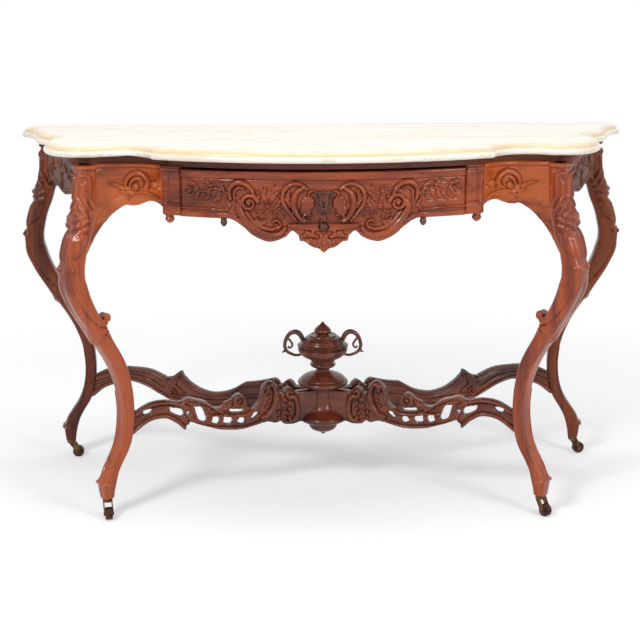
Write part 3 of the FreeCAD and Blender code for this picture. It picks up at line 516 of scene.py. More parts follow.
def arcThrough(a, b, c, count):
    # points of the circle through three places, from the first to the last
    ax, ay, bx, by, cx, cy = *a, *b, *c
    d = 2 * (ax * (by - cy) + bx * (cy - ay) + cx * (ay - by))
    aa, bb, cc = ax ** 2 + ay ** 2, bx ** 2 + by ** 2, cx ** 2 + cy ** 2
    ux = (aa * (by - cy) + bb * (cy - ay) + cc * (ay - by)) / d
    uy = (aa * (cx - bx) + bb * (ax - cx) + cc * (bx - ax)) / d
    turns = np.unwrap([math.atan2(y - uy, x - ux) for x, y in (a, b, c)])
    turn = np.linspace(turns[0], turns[2], count)
    radius = math.hypot(ax - ux, ay - uy)
    return np.stack([ux + radius * np.cos(turn), uy + radius * np.sin(turn)], -1), (ux, uy), radius


# marble slab
slab = {"cusp": (392.0, -236.73), "step": (399.0, -218.73), "valley": ((462, -172), (522, -189)),
        "lobe": ((586, -191), (640, -146)), "lobeSide": ((664, -88), (668, -26)), "notch": (654, 12),
        "ear": ((679, 52), (704, 83), (722, 122)), "tip": ((744, 198), (783, 260)), "back": (767, 326.5),
        # the edge's profile, from the underside to the top: how far in, how high
        "edge": [(46, 0.02), (9, 0.0), (4, 0.8), (1.2, 3.0), (0.0, 6.5), (0.4, 10.0), (2.2, 12.6),
                 (5.2, 14.2), (5.6, 15.0), (6.6, 17.6), (9.0, 20.6), (12.6, 23.4), (17.0, 25.6), (21.0, 27.0),
                 (24.0, 27.7), (27.0, 28.0)]}


def slabOutline():
    # half the outline from the middle of the bow to the middle of the back, then its mirror image
    bow = np.linspace(0, math.asin(slab["cusp"][0] / tableMeasures["bowRadius"]), 40)
    front = np.stack([tableMeasures["bowRadius"] * np.sin(bow),
                      bowCentre - tableMeasures["bowRadius"] * np.cos(bow)], -1)
    valley = arcThrough(slab["step"], *slab["valley"], 26)[0]
    lobe = arcThrough(slab["valley"][1], *slab["lobe"], 26)[0]
    side = arcThrough(slab["lobe"][1], *slab["lobeSide"], 18)[0]
    ear = arcThrough(*slab["ear"], 14)[0]
    tip = arcThrough(slab["ear"][2], *slab["tip"], 24)[0]
    half = np.vstack([front, valley, lobe[1:], side[1:], [slab["notch"]], ear, tip[1:], [slab["back"]]])
    other = half[:0:-1] * [-1, 1]
    return np.vstack([half, other])


def slabPart():
    # the edge's profile set in from the outline along each corner's bisector
    ring = slabOutline()
    before, after = ring - np.roll(ring, 1, 0), np.roll(ring, -1, 0) - ring
    before /= np.linalg.norm(before, axis=1)[:, None]
    after /= np.linalg.norm(after, axis=1)[:, None]
    first = np.stack([-before[:, 1], before[:, 0]], -1)
    second = np.stack([-after[:, 1], after[:, 0]], -1)
    inward = first + second
    inward /= np.linalg.norm(inward, axis=1)[:, None]
    inward /= np.maximum((inward * first).sum(1), 0.62)[:, None]
    edge = smoothPath(slab["edge"], 3)
    flat = ring[None] + inward[None] * edge[:, 0][:, None, None]
    z = np.repeat(tableMeasures["slabUnder"] + edge[:, 1][:, None, None], len(ring), 1)
    cove = np.interp(edge[:, 1], [0, 12, 14.5, 20, 25, 28], [0, 0, 0.9, 1.0, 0.45, 0])
    return ringPart(np.concatenate([flat, z], -1), np.repeat(cove[:, None], len(ring), 1))


makePiece("marble_slab", [slabPart()], marble, "table", ["marble_top"], 30)
print("marble slab made")

# drawer front
drawer = {"inset": 35.0, "thickness": 22.0, "half": 329.0, "top": 869.0, "cell": 1.5, "ground": -3.0,
          "fillet": 851.0,
          "low": 683.0, "dish": {"height": 745.0, "radius": 12.0},
          # half of the lower edge, from the end to the middle
          "edge": [(329, 760), (290, 760), (250, 760), (214, 760), (184, 743), (165, 726), (145, 715),
                   (126, 709.5), (106, 713), (86, 722)],
          "notch": [(86, 722), (72, 735), (58, 725)],
          "drop": [(58, 725), (54, 712), (45, 711), (36, 705), (24, 698), (12, 694), (0, 685)]}


def drawerMap(us, vs):
    # the relief of one half, drawn against the distance from the drawer's middle, so both halves match
    gridX, gridZ = np.meshgrid(us, vs)
    field = blankMap(np.abs(gridX), gridZ, drawer["ground"])
    # flat fillet along the top and bead above the plain lower edge at the ends
    field["h"] = np.where(gridZ > drawer["fillet"], 0.0, field["h"])
    carve(field, "groove", [(0, 850), (drawer["half"], 850)], [1.4], 1.2)
    lower = smoothPath(drawer["edge"], 6)
    carve(field, "band", lower + [0, 4.0], [9.0], 3.2)
    carve(field, "rib", [(329, 781), (262, 781), (222, 778)], [2.8, 2.8, 2.2], 3.8)
    carve(field, "groove", [(329, 776), (270, 776), (232, 771)], [1.6], 1.0)
    # great C scroll that runs from its curled end down into the lower lobe
    carve(field, "rib", [(188, 800), (193, 786), (182, 764), (160, 741), (132, 726), (102, 727), (87, 742)],
          [7.5, 9, 8.5, 8, 8, 6.5, 4], 8.5)
    carve(field, "rib", [(176, 777), (158, 754), (136, 741), (114, 739), (100, 747), (103, 758), (114, 760)],
          [4, 5, 5.5, 5, 4, 3.2, 2.5], 7.0)
    volute(field, 169, 797, 20, 2.9, -1.35, 5.4, 8.5)
    volute(field, 106, 748, 11, 0.6, 1.2, 3.4, 7.0)
    # second scroll that rises beside it to the fillet
    carve(field, "rib", [(212, 806), (214, 828), (199, 843), (180, 842), (164, 829), (158, 816)],
          [4, 5.5, 6, 6, 5, 3], 7.5)
    carve(field, "rib", [(203, 803), (203, 822), (192, 832), (179, 829)], [2.4, 3.4, 3.4, 2.4], 5.5)
    # two strands either side of the shield and the arch over them
    carve(field, "rib", [(46, 834), (62, 822), (68, 803), (66, 784), (55, 766), (44, 757)],
          [4.5, 6, 7.5, 7.5, 6.5, 3.5], 10.0)
    carve(field, "rib",
          [(38, 831), (52, 841), (70, 842), (86, 832), (93, 815), (89, 794), (74, 774), (60, 757)],
          [3.6, 5, 5.5, 5.5, 5, 5, 4.4, 3], 8.0)
    carve(field, "leaf", [(78, 826), (82, 808), (76, 790)], [4, 7, 3], 6.0, 4)
    # smooth shell lobes inside the strands
    bead(field, 36, 799, 17, 6.5)
    bead(field, 41, 781, 14, 6.0)
    carve(field, "groove", [(22, 812), (34, 806), (48, 808)], [1.6], 2.2)
    carve(field, "rib", [(28, 770), (38, 774), (46, 768), (42, 760), (33, 760)], [2.2, 3.4, 3.6, 3, 2], 7.5)
    carve(field, "rib", [(24, 826), (32, 824), (34, 815)], [2.4, 3.4, 2.4], 7.0)
    # plain lozenge that carries the knob
    carve(field, "band", [(0, 744), (40, 744.5), (78, 748)], [10, 8.5, 6.5, 4.5], 6.0)
    carve(field, "band", [(0, 745), (0, 772)], [12, 9, 3], 6.0)
    # flowers and sprays between the scrolls
    flower(field, 141, 772, 13, 7.0, 6, 0.3)
    flower(field, 128, 791, 9, 6.0, 5, 0.9)
    carve(field, "leaf", [(120, 800), (112, 815), (98, 826)], [3, 7, 5, 2], 6.0, 4)
    carve(field, "leaf", [(130, 800), (136, 818), (130, 834)], [3, 7, 5, 2], 6.0, 4)
    carve(field, "leaf", [(112, 785), (100, 800), (104, 812)], [3, 5, 2], 5.0, 3)
    for x, z, r in ((147, 812, 4), (150, 823, 3.4), (141, 836, 3.2), (118, 776, 3.6), (107, 771, 3.2),
                    (98, 784, 3.4), (152, 780, 3.4), (111, 838, 3), (121, 829, 3), (92, 768, 3.2)):
        bead(field, x, z, r, 5.5)
    carve(field, "leaf", [(154, 762), (143, 752), (130, 756)], [3, 6, 2], 5.0, 3)
    # berries that follow the lower lobe
    for x, z, r in ((204, 763, 3.6), (196, 756, 4), (188, 748, 4), (198, 767, 3.2)):
        bead(field, x, z, r, 5.0)
    # spray that runs out to the drawer's ends
    carve(field, "rib", [(214, 812), (232, 826), (254, 828), (276, 820), (298, 826), (312, 834)],
          [3, 3, 2.6, 2.4, 2, 1.2], 4.5)
    for path, width in (([(226, 820), (236, 838), (252, 844)], [3, 7, 2]),
                        ([(236, 826), (240, 808), (254, 800)], [3, 7.5, 2]),
                        ([(254, 828), (266, 842), (282, 842)], [3, 6, 2]),
                        ([(260, 827), (266, 808), (280, 801)], [3, 6.5, 2]),
                        ([(284, 820), (293, 806), (307, 802)], [2.5, 5.5, 2]),
                        ([(288, 822), (297, 838), (311, 845)], [2.5, 5, 1.6]),
                        ([(222, 806), (216, 790), (226, 778)], [3, 6, 2]),
                        ([(299, 826), (310, 818), (320, 822)], [2, 4.4, 1.6])):
        carve(field, "leaf", path, width, 6.0, 4)
    # leaves and blossom of the drop in the middle
    flower(field, 0, 716, 17, 8.0, 5, 0.3)
    for path in ([(16, 722), (32, 728), (52, 722)], [(14, 712), (30, 712), (46, 714)],
                 [(8, 706), (20, 702), (32, 703)], [(0, 712), (4, 698), (0, 687)]):
        carve(field, "leaf", path, [4, 7.5, 2.5], 7.0, 4)
    bead(field, 24, 735, 4.5, 6.0)
    bead(field, 40, 733, 4.0, 5.5)
    return field


def drawerPart():
    # a board bent to the bow, its face carved, with a shallow dish behind the knob
    us = np.arange(-drawer["half"], drawer["half"] + 0.1, drawer["cell"])
    us = us * drawer["half"] / us[-1]
    vs = np.arange(drawer["low"], drawer["top"] + 0.1, drawer["cell"])
    right = np.vstack([smoothPath(drawer["edge"], 5), smoothPath(drawer["notch"], 6)[1:],
                       smoothPath(drawer["drop"], 4)[1:]])
    loop = np.vstack([[(drawer["half"], drawer["top"])], right, (right * [-1, 1])[::-1][1:],
                      [(-drawer["half"], drawer["top"])]])
    gap = outlineGap(*np.meshgrid(us, vs), [loop])
    field = drawerMap(us, vs)
    front = field["h"] + roundedRim(gap, 3.0)
    away = np.hypot(field["x"], field["y"] - drawer["dish"]["height"]) / drawer["dish"]["radius"]
    front = np.where(away < 1, -1.0 - 3.5 * np.sqrt(np.clip(1 - away ** 2, 0, 1)), front)
    back = np.full(gap.shape, -drawer["thickness"])
    return panelPart(us, vs, gap, front, back, bowPlace(drawer["inset"]))


makePiece("carved_drawer_front", [drawerPart()], friezeWood, "drawer", ["drawer_front"])
print("drawer front made")

# knob, shield and hanging drops; a knob's profile is radius, distance out of the face
knob = {"height": 745.0,
        "profile": [(0, 13.5), (4.5, 13), (8, 10.5), (9.3, 7.5), (8, 4.5), (5, 2.5), (4.2, 0), (6, -2),
                    (9, -3.4), (9, -4.5), (0, -4.5)]}


def frontLathe(profile, x, z, inset):
    # a turned profile whose axis points out of the bowed face
    part = lathePart(smoothPath(profile, 4), (0, 0), 40)
    p = part["points"]
    y = bowCentre - math.sqrt((tableMeasures["bowRadius"] - inset) ** 2 - x * x)
    part["points"] = np.stack([x + p[:, 0], y - p[:, 2], z + p[:, 1]], -1)
    return part


knobPart = frontLathe(knob["profile"], 0, knob["height"], drawer["inset"])
makePiece("turned_drawer_knob", [knobPart], urnWood, "drawer", ["drawer_knob"])

shield = {"cell": 0.8, "reach": 24.0, "low": 775.0, "high": 831.0, "keyhole": 801.0, "eye": 3.4,
          "slot": [(-1.6, 800), (-2.4, 790), (2.4, 790), (1.6, 800)],
          "half": [(0, 829), (9, 826), (14, 828), (21, 826), (22, 818), (18, 810), (19, 800), (15, 789),
                   (8, 781), (0, 777)]}


def shieldPart():
    # a plate with a rounded, grooved rim, cut through by a round eye over a flared slot
    us = np.arange(-shield["reach"], shield["reach"] + 0.1, shield["cell"])
    vs = np.arange(shield["low"], shield["high"] + 0.1, shield["cell"])
    gridX, gridZ = np.meshgrid(us, vs)
    half = smoothPath(shield["half"], 5)
    loop = np.vstack([half, (half * [-1, 1])[::-1][1:-1]])
    turn = np.linspace(0, 2 * np.pi, 18, endpoint=False)
    eye = np.stack([shield["eye"] * np.cos(turn), shield["keyhole"] + shield["eye"] * np.sin(turn)], -1)
    eye = np.vstack([eye[eye[:, 1] > shield["slot"][0][1] - 1], shield["slot"]])
    gap = outlineGap(gridX, gridZ, [loop, eye])
    rim = outlineGap(gridX, gridZ, [loop])
    field = blankMap(np.abs(gridX), gridZ)
    field["h"] = 7.0 + roundedRim(rim, 4.0) - 2.2 * np.exp(-((rim + 6.5) / 1.2) ** 2)
    carve(field, "rib", [(0, 817), (7, 820), (13, 817), (15, 811)], [1.6, 2.2, 1.6], 8.6, moat=0.8)
    carve(field, "rib", [(0, 784), (6, 788), (11, 795)], [1.4, 2.0, 1.4], 8.2, moat=0.8)
    return panelPart(us, vs, gap, field["h"], np.zeros(gap.shape), bowPlace(drawer["inset"]))


makePiece("carved_keyhole_shield", [shieldPart()], urnWood, "drawer", ["keyhole_shield"])

# a hanging bud: radius as a share of its widest, height below its seat
dropProfile = [(0, 1), (0.82, 1), (0.98, -1.5), (0.8, -4), (0.92, -7), (1.0, -10), (0.86, -14), (0.5, -18),
               (0.2, -19.6), (0, -20)]
drops = {"drawer": {"x": 228.5, "top": 760.0, "inset": 46.0, "radius": 8.0},
         "pilaster": {"x": 356.0, "top": 762.0, "inset": 42.0, "radius": 11.0}}


def dropParts(values):
    # the bud turned about an upright axis under the bowed face, and its mirror image
    y = bowCentre - math.sqrt((tableMeasures["bowRadius"] - values["inset"]) ** 2 - values["x"] ** 2)
    profile = smoothPath(dropProfile, 4) * [values["radius"], 1] + [0, values["top"]]
    part = lathePart(profile, (values["x"], y), 36)
    return [part, mirroredPart(part)]


makePiece("turned_drawer_drops", dropParts(drops["drawer"]), urnWood, "drawer",
          ["drawer_drops"])
makePiece("turned_pilaster_drops", dropParts(drops["pilaster"]), friezeWood, "table",
          ["pilaster_drops"])

# pilasters
pilaster = {"inner": 330.0, "outer": 375.0, "inset": 31.0, "thickness": 52.0, "low": 762.0, "top": frameUnder,
            "cell": 1.2}


def pilasterPart():
    # a plain face with a moulded foot and head, and a rounded rib with a ball that closes its outer edge
    low, top, a, b = pilaster["low"], pilaster["top"], pilaster["inner"], pilaster["outer"]
    us = np.linspace(a, b, 39)
    vs = np.arange(low, top + 0.1, pilaster["cell"])
    gridX, gridZ = np.meshgrid(us, vs)
    gap = outlineGap(gridX, gridZ, [np.array([(a, top), (b, top), (b, low), (a, low)])])
    field = blankMap(gridX, gridZ)
    field["h"] -= 5.0 * np.clip((gridX - 363) / 12, 0, 1) ** 2
    carve(field, "groove", [(356, 862), (356, 790)], [1.6], 2.0)
    carve(field, "rib", [(364, 852), (364, 820), (364, 792)], [4.6, 4.0, 4.6], 3.4, moat=0.6)
    bead(field, 365, 848, 5.2, 5.5)
    carve(field, "rib", [(a, 788), (367, 788)], [2.4], 3.4, moat=0.8)
    carve(field, "rib", [(a, 867), (370, 867)], [4.0], 4.0, moat=0.8)
    back = np.full(gap.shape, -pilaster["thickness"])
    return panelPart(us, vs, gap, field["h"] + roundedRim(gap, 2.0), back, bowPlace(pilaster["inset"]))


makePair("carved_pilaster", [pilasterPart()], friezeWood, "{}_pilaster")

# corner panels
valleyMiddle, valleyRadius = arcThrough(slab["step"], *slab["valley"], 4)[1:]
corner = {"inset": 40.0, "thickness": 24.0, "start": 375.0, "end": 563.0, "tip": 568.0, "foot": 652.0,
          "cell": 1.4,
          # the lower edge from the pilaster, the sweep down the leg, the bracket's tail and its way back up
          "edge": [(375, 770), (383, 777), (395, 782), (409, 784), (419, 782), (428, 777), (440.5, 772),
                   (454.7, 771), (463.5, 773)],
          "sweep": [(463.5, 773), (473, 770), (482, 764), (491, 758), (502, 748), (514, 735), (525.5, 721),
                    (538, 701), (545, 687), (553, 670), (562, 652)],
          "back": [(567, 652), (568, 684), (564, 714), (562.6, 744)]}


def valleyPlace(u, v, out):
    # x along the hollow corner, out towards its centre of curvature
    radius = valleyRadius + corner["inset"]
    turn = np.arcsin(np.clip((u - valleyMiddle[0]) / radius, -1, 1))
    return np.stack([valleyMiddle[0] + (radius - out) * np.sin(turn),
                     valleyMiddle[1] + (radius - out) * np.cos(turn), v], -1)


def cornerPart():
    # a board bent to the hollow corner, whose lower edge is an arch and then the bracket down the leg
    us = np.arange(corner["start"], corner["tip"] + 1.5, corner["cell"])
    vs = np.arange(corner["foot"] - 2, frameUnder + 0.1, corner["cell"])
    gridX, gridZ = np.meshgrid(us, vs)
    lower = np.vstack([smoothPath(corner["edge"], 6), smoothPath(corner["sweep"], 6)[1:],
                       smoothPath(corner["back"], 4)])
    loop = np.vstack([[(corner["end"], frameUnder), (corner["start"], frameUnder)], lower])
    gap = outlineGap(gridX, gridZ, [loop])
    field = blankMap(gridX, gridZ)
    carve(field, "rib", [(375, 868), (566, 868)], [5.4], 6.0, moat=1.0)
    carve(field, "groove", [(375, 859), (566, 859)], [1.6], 0.8)
    # broad soft swell above the sweep, and the sunk band under the bordered arch
    carve(field, "rib", [(472, 788), (490, 780), (510, 762), (530, 732), (545, 700)],
          [3, 9, 10, 9, 4], 2.4, moat=0.0)
    under = np.clip((798 - gridZ - 0.5 * np.clip(400 - gridX, 0, 30)) / 4, 0, 1)
    field["h"] -= 2.6 * under * np.clip((452 - gridX) / 8, 0, 1)
    carve(field, "rib",
          [(377, 782), (384, 790), (395, 797.5), (409, 802), (423, 804), (438, 803), (453, 797), (460, 786)],
          [2.6, 3, 3.2, 3.2, 3.2, 3, 3, 2], 4.5, moat=0.9)
    # shell scroll with its ball, a bud towards the pilaster and one long leaf towards the leg
    carve(field, "rib", [(466, 820), (462, 834), (450, 845), (433, 849), (418, 842), (409, 829), (410, 816)],
          [4, 6, 7, 7.5, 7, 6, 3.5], 9.0)
    carve(field, "rib", [(455, 820), (448, 832), (434, 837), (424, 829), (427, 818)],
          [3, 5, 5.6, 5, 3], 7.5, moat=0.6)
    bead(field, 440, 817, 8.5, 8.0)
    bead(field, 395, 824, 9.0, 6.5)
    bead(field, 384, 816, 5.0, 4.5)
    carve(field, "leaf", [(458, 812), (474, 814), (490, 822), (508, 824)], [6, 6.5, 4, 1.4], 6.0, 3, 0.6)
    carve(field, "leaf", [(452, 803), (466, 802), (482, 806)], [5, 5, 1.6], 5.0, 3, 0.6)
    back = np.full(gap.shape, -corner["thickness"])
    return panelPart(us, vs, gap, field["h"] + roundedRim(gap, 3.5), back, valleyPlace)


# the corner panels take the lighter copy of the wood, which is painted light
makePair("carved_corner", [cornerPart()], cornerWoodLit, "{}_corner_panel")
print("frieze corners made")

# legs
legPlaces = {"front": {"foot": (535.0, -165.0), "splay": 39.3},
             "rear": {"foot": (698.0, 293.0), "splay": 7.0}}
legShape = {
    # height, outward reach, width in the leg's plane, width across it, squareness of the section
    "stations": [(50, 0, 26, 26, 9), (56, 0, 27.6, 27.6, 9), (70, 0, 31, 31, 9), (83, -1, 35, 35, 8),
                 (92, -2, 37, 38, 6.5), (104, -7, 35, 39, 5), (117, -13, 33, 39, 4.4), (140, -27, 31, 40, 4),
                 (162, -41, 31, 42, 4), (190, -53, 31, 43, 4), (230, -61, 31, 44, 4), (270, -63, 31, 44, 4),
                 (310, -60, 32, 45, 4), (340, -54, 34, 46, 4), (367, -46, 38, 47, 4), (394, -35, 41, 49, 4),
                 (420, -21, 43, 50, 4), (448, -4, 45, 52, 4), (475, 10, 47, 53, 4), (505, 29, 47, 54, 4),
                 (530, 44, 47, 55, 4), (558, 57, 48, 56, 4), (580, 65, 50, 57, 4), (605, 70, 51, 59, 4),
                 (632, 71, 51, 60, 4), (655, 65, 47, 58, 4), (680, 58, 45, 57, 4), (700, 51, 45, 57, 4),
                 (720, 43, 46, 56, 4), (742, 37, 48, 55, 4), (770, 29, 46, 53, 4), (800, 25, 42, 50, 4),
                 (830, 23, 41, 48, 4), (874, 22, 42, 46, 5)],
    "low": 50.0, "headReach": 22.0, "around": 112, "rows": 330}


def legFrame(end):
    # where a leg's foot stands, the level direction it is splayed in, and the one across it
    place = legPlaces[end]
    turn = math.radians(place["splay"])
    outward = np.array([math.cos(turn), -math.sin(turn), 0])
    across = np.array([math.sin(turn), math.cos(turn), 0])
    return np.array([*place["foot"], 0.0]), outward, across


def legPart(end):
    # squared ovals stacked along the leg; the carving is drawn on the unrolled skin, where x is the distance
    # round from the middle of the outer face and y the height, and is pushed out along the section's normal
    foot, outward, across = legFrame(end)
    stations = smoothPath(legShape["stations"], 6)
    z = np.linspace(legShape["low"], frameUnder, legShape["rows"])
    reach, wide, deep, square = (np.interp(z, stations[:, 0], stations[:, k])[:, None] for k in (1, 2, 3, 4))
    turn = np.linspace(-np.pi, np.pi, legShape["around"], endpoint=False)[None, :] + 1e-4
    c, s = np.cos(turn), np.sin(turn)
    ca = np.sign(c) * np.abs(c) ** (2 / square)
    sa = np.sign(s) * np.abs(s) ** (2 / square)
    a, b = wide / 2 * ca, deep / 2 * sa
    step = np.hypot(np.diff(a, axis=1), np.diff(b, axis=1))
    length = np.concatenate([np.zeros((len(z), 1)), np.cumsum(step, 1)], 1)
    middle = legShape["around"] // 2
    unrolled = np.abs(length - length[:, middle:middle + 1])
    level = np.repeat(z[:, None], legShape["around"], 1)
    field = blankMap(unrolled, level)
    legCarving(field)
    na = np.sign(c) * np.abs(c) ** (2 - 2 / square) / (wide / 2)
    nb = np.sign(s) * np.abs(s) ** (2 - 2 / square) / (deep / 2)
    size = np.hypot(na, nb)
    h = field["h"]
    a = a + h * na / size
    b = b + h * nb / size
    points = foot + (reach + a)[..., None] * outward + b[..., None] * across
    points[..., 2] = level
    # the crest of the knee is rubbed flat where it would pass the solid leg's widest point
    points[..., 0] = np.minimum(points[..., 0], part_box(end + "_right_leg")[1][0] * 1000)
    return ringPart(points, hollowOf(h, 8, 3.0))


# heights of the carving on a leg, and how far round from the outer face's middle its features lie
legRelief = {"cusp": 442.0, "nubs": ((16, 6.4), (34, 5.2)), "nubHeight": 636.0, "mouth": 648.0, "knee": 746.0,
             "fold": 738.0,
             # the leaf's edge: heights, and the distance round at each
             "leafHeights": [690, 700, 712, 722, 736, 748, 762, 778, 800, 820, 838, 850, 857],
             "leafWidths": [30, 40, 50, 44, 57, 50, 62, 56, 55, 54, 51, 44, 34],
             "leafFoot": 745.0, "leafTop": 858.0, "eye": (20.0, 842.0), "bead": 869.0, "disc": (52, 474),
             "ledge": 93.0}


def hill(distance, width):
    # a bell curve, 1 at its middle
    return np.exp(-(distance / width) ** 2)


def ramp(rise):
    # 0 below 0, 1 above 1, straight between
    return np.clip(rise, 0, 1)


def legCarving(field):
    # each feature is a product of bell curves and ramps in the height and in the distance round
    x, z = field["x"], field["y"]
    relief = legRelief
    # the upper leg is a sheath with a plain flank, set off by a ridge that runs down to a cusp in front
    above = z - (relief["cusp"] + 36 * ramp(x / 62) ** 1.4)
    field["h"] += 3.4 * ramp(above / 6) * ramp((742 - z) / 90)
    field["h"] += 8.5 * hill(x, 11) * np.exp(-np.clip(above, -60, 99) / 20) * ramp((above + 2) / 6)
    carve(field, "rib", [(23, 634), (25, 590), (25, 530), (20, 480), (9, 450), (0, 443)],
          [5, 4.6, 4.4, 4.2, 4.6, 5], 4.4, moat=0.0)
    carve(field, "groove", [(34, 634), (34, 560), (38, 520), (48, 492), (64, 482)], [3.4], 3.4)
    carve(field, "groove", [(0, 640), (0, 560), (0, 490)], [9.0], 2.2)
    # the knee is kept lower than the rest, so that the bell and its nubs end where the plain leg would
    field["h"] -= 11.6 * hill(z - 640, 30)
    # bell-shaped sheath below the knee: fluted, its mouth rounded, nubs under it and a sunk flank beside it
    mouth = relief["mouth"] + 0.014 * x ** 2 - 5 * hill(x - 12, 7)
    edge = 50 - 7 * ramp((700 - z) / 50)
    bell = np.sin(0.5 * np.pi * ramp((z - mouth) / 5) * ramp((edge - x) / 6))
    flutes = 5.6 + 1.5 * np.cos(x / 2.7) + 2.0 * hill(z - 664, 14)
    field["h"] += bell * ramp((738 - z) / 30) * flutes
    field["h"] -= 6.0 * ramp((x - edge) / 6) * ramp((z - 674) / 26) * ramp((748 - z) / 22)
    for cx, r in relief["nubs"]:
        bead(field, cx, relief["nubHeight"], r, 5.8)
    # knee: the outer face swells into a knob, and the folds of the leaf cross it on a slant
    field["h"] += 9.0 * hill(z - relief["knee"], 13) * hill(x - 4, 26)
    field["h"] -= 3.0 * hill(z - 722, 7) * ramp((56 - x) / 10)
    folds = hill(z - relief["fold"], 24) * ramp((60 - x) / 12)
    field["h"] += folds * (2.2 + 2.4 * np.cos((z - 0.5 * x - 744) / 2.9))
    # one smooth leaf that hangs from the head: its edge wanders, and its flutes fan out towards the knee
    edge = np.interp(z, relief["leafHeights"], relief["leafWidths"])
    started = ramp((z - relief["leafFoot"]) / 20)
    leaf = np.sin(0.5 * np.pi * ramp((edge - x) / 9)) * started
    eyeX, eyeZ = relief["eye"]
    leaf = leaf * ramp((relief["leafTop"] - 0.022 * (x - eyeX) ** 2 - z) / 5)
    fan = x - eyeX - 0.75 * np.clip(800 - z, 0, 60)
    field["h"] += leaf * (9.4 + 2.6 * np.cos(fan / 2.6)) - 5.6 * started
    for fx, fz, r in ((56, 764, 6.0), (50, 749, 5.4), (47, 712, 4.6)):
        bead(field, fx, fz, r, 4.5)
    # rounded top of the leaf: a raised rim with a sunk eye, under the frieze's bead
    away = np.hypot(x - eyeX, (z - eyeZ) * 1.15)
    field["h"] += 3.0 * hill(away - 13.5, 4.5) * ramp((z - 836) / 8)
    field["h"] -= 8.0 * hill(away, 7.0)
    field["h"] = np.maximum(field["h"], 5.0 * ramp(1 - ((z - relief["bead"]) / 5) ** 2) ** 0.5)
    # disc above the plain lower leg
    volute(field, *relief["disc"], 10.5, 0.4, 1.3, 3.2, 4.5)
    # foot: raised borders with hollows between them, a pointed leaf above the toe, and the toe's ledge
    carve(field, "rib", [(20, 310), (20, 240), (18, 180), (15, 130), (3, 104)],
          [0.8, 2.6, 3.4, 3.4, 3.0], 2.6, moat=0.5)
    field["h"] -= 1.4 * hill(x, 9) * hill(z - 180, 60)
    carve(field, "leaf", [(0, 150), (0, 124), (0, 102)], [1.5, 7, 5], 3.0, 3, 0.5)
    ledge = ramp(1 - np.abs(z - relief["ledge"] + 0.12 * x) / 6.5) ** 0.7
    field["h"] += 6.0 * ledge * ramp((48 - x) / 22)


# the knob on the inner side of the knee, and the tongue that carries it: points are (outward, height)
curl = {"reach": -13, "height": 506, "radius": 10.5, "half": 15, "ripples": 3,
        "neck": [(18, 478), (6, 486), (-4, 493), (-12, 502)], "wide": [15, 13, 11, 8],
        "deep": [21, 20, 18, 15]}


def curlPart(end):
    # a turned scroll whose axis lies across the leg: ends slightly dished, rim rounded and rippled
    foot, outward, across = legFrame(end)
    radius, half = curl["radius"], curl["half"]
    profile = [(0, half + 1), (radius * 0.3, half + 1.2), (radius * 0.48, half + 0.5),
               (radius * 0.7, half + 1.0),
               (radius * 0.92, half - 1), (radius, half - 4.5), (radius * 0.98, half * 0.4),
               (radius * 0.97, 0)]
    profile = smoothPath(profile, 4)
    profile = np.vstack([profile, (profile * [1, -1])[::-1][1:]])
    part = lathePart(profile, (0, 0), 44, lambda turn, z: 0.5 * np.cos(curl["ripples"] * turn))
    p = part["points"]
    centre = foot + outward * curl["reach"] + np.array([0, 0, curl["height"]])
    part["points"] = centre + p[:, :1] * outward + p[:, 1:2] * np.array([0, 0, 1.0]) + p[:, 2:3] * across
    return part


def neckPart(end):
    # a tapering tongue swept from inside the leg up to the scroll
    foot, outward, across = legFrame(end)
    curve = smoothPath(curl["neck"], 8)
    line = foot + curve[:, :1] * outward + curve[:, 1:2] * np.array([0, 0, 1.0])
    return tubePart(line, curl["wide"], curl["deep"], across, 24, 3.0)


# the rear legs take the darker copy of the leg wood, which is painted shade
for end, wood in (("front", legWood), ("rear", rearLegWoodInShade)):
    makePair("carved_" + end + "_leg", [legPart(end), curlPart(end), neckPart(end)], wood, end + "_{}_leg")
print("legs made")

# side panels
flank = {"thickness": 24.0, "cell": 2.0, "low": 750.0,
         # the lower edge: share of the run from the front leg, height
         "edge": [(0.0, 756), (0.12, 776), (0.24, 788), (0.36, 782), (0.47, 774), (0.58, 782), (0.74, 790),
                  (0.88, 776), (1.0, 752)]}


def flankPart():
    # a flat board from the front leg's head to the rear one's, its relief the same either side of its middle
    start, end = (legFrame(name)[0] + legShape["headReach"] * legFrame(name)[1] for name in ("front", "rear"))
    run = end - start
    length = np.linalg.norm(run)
    ahead = run / length
    out = np.array([ahead[1], -ahead[0], 0])
    us = np.arange(0, length + 0.1, flank["cell"])
    vs = np.arange(flank["low"], frameUnder + 0.1, flank["cell"])
    gridX, gridZ = np.meshgrid(us, vs)
    lower = smoothPath([(s * length, z) for s, z in flank["edge"]], 6)
    gap = outlineGap(gridX, gridZ, [np.vstack([[(length, frameUnder), (0, frameUnder)], lower])])
    field = blankMap(np.abs(gridX - length / 2), gridZ)
    carve(field, "rib", [(0, 867), (length / 2, 867)], [5.0], 5.0)
    carve(field, "leaf", [(0, 858), (0, 830), (0, 790)], [12, 17, 6], 5.0, 3, 0.5)
    carve(field, "leaf", [(14, 834), (50, 842), (90, 830)], [7, 12, 3], 5.0, 3, 0.5)
    carve(field, "rib", [(98, 824), (118, 842), (146, 836), (152, 816), (136, 806)],
          [4, 6, 7, 6, 4], 5.0, moat=0.5)
    carve(field, "leaf", [(156, 828), (180, 826), (206, 806)], [7, 10, 3], 4.5, 3, 0.5)
    bead(field, 130, 824, 8, 5.0)
    carve(field, "rib", [((s - 0.5) * length, z + 5) for s, z in flank["edge"][4:]], [3.4], 3.6, moat=0.8)
    front = field["h"] + flank["thickness"] / 2 + roundedRim(gap, 3.0)
    back = np.full(gap.shape, -flank["thickness"] / 2)
    part = panelPart(us, vs, gap, front, back, flatPlace(start, ahead, out))
    part["points"][:, 2] = np.minimum(part["points"][:, 2], frameUnder)
    return part
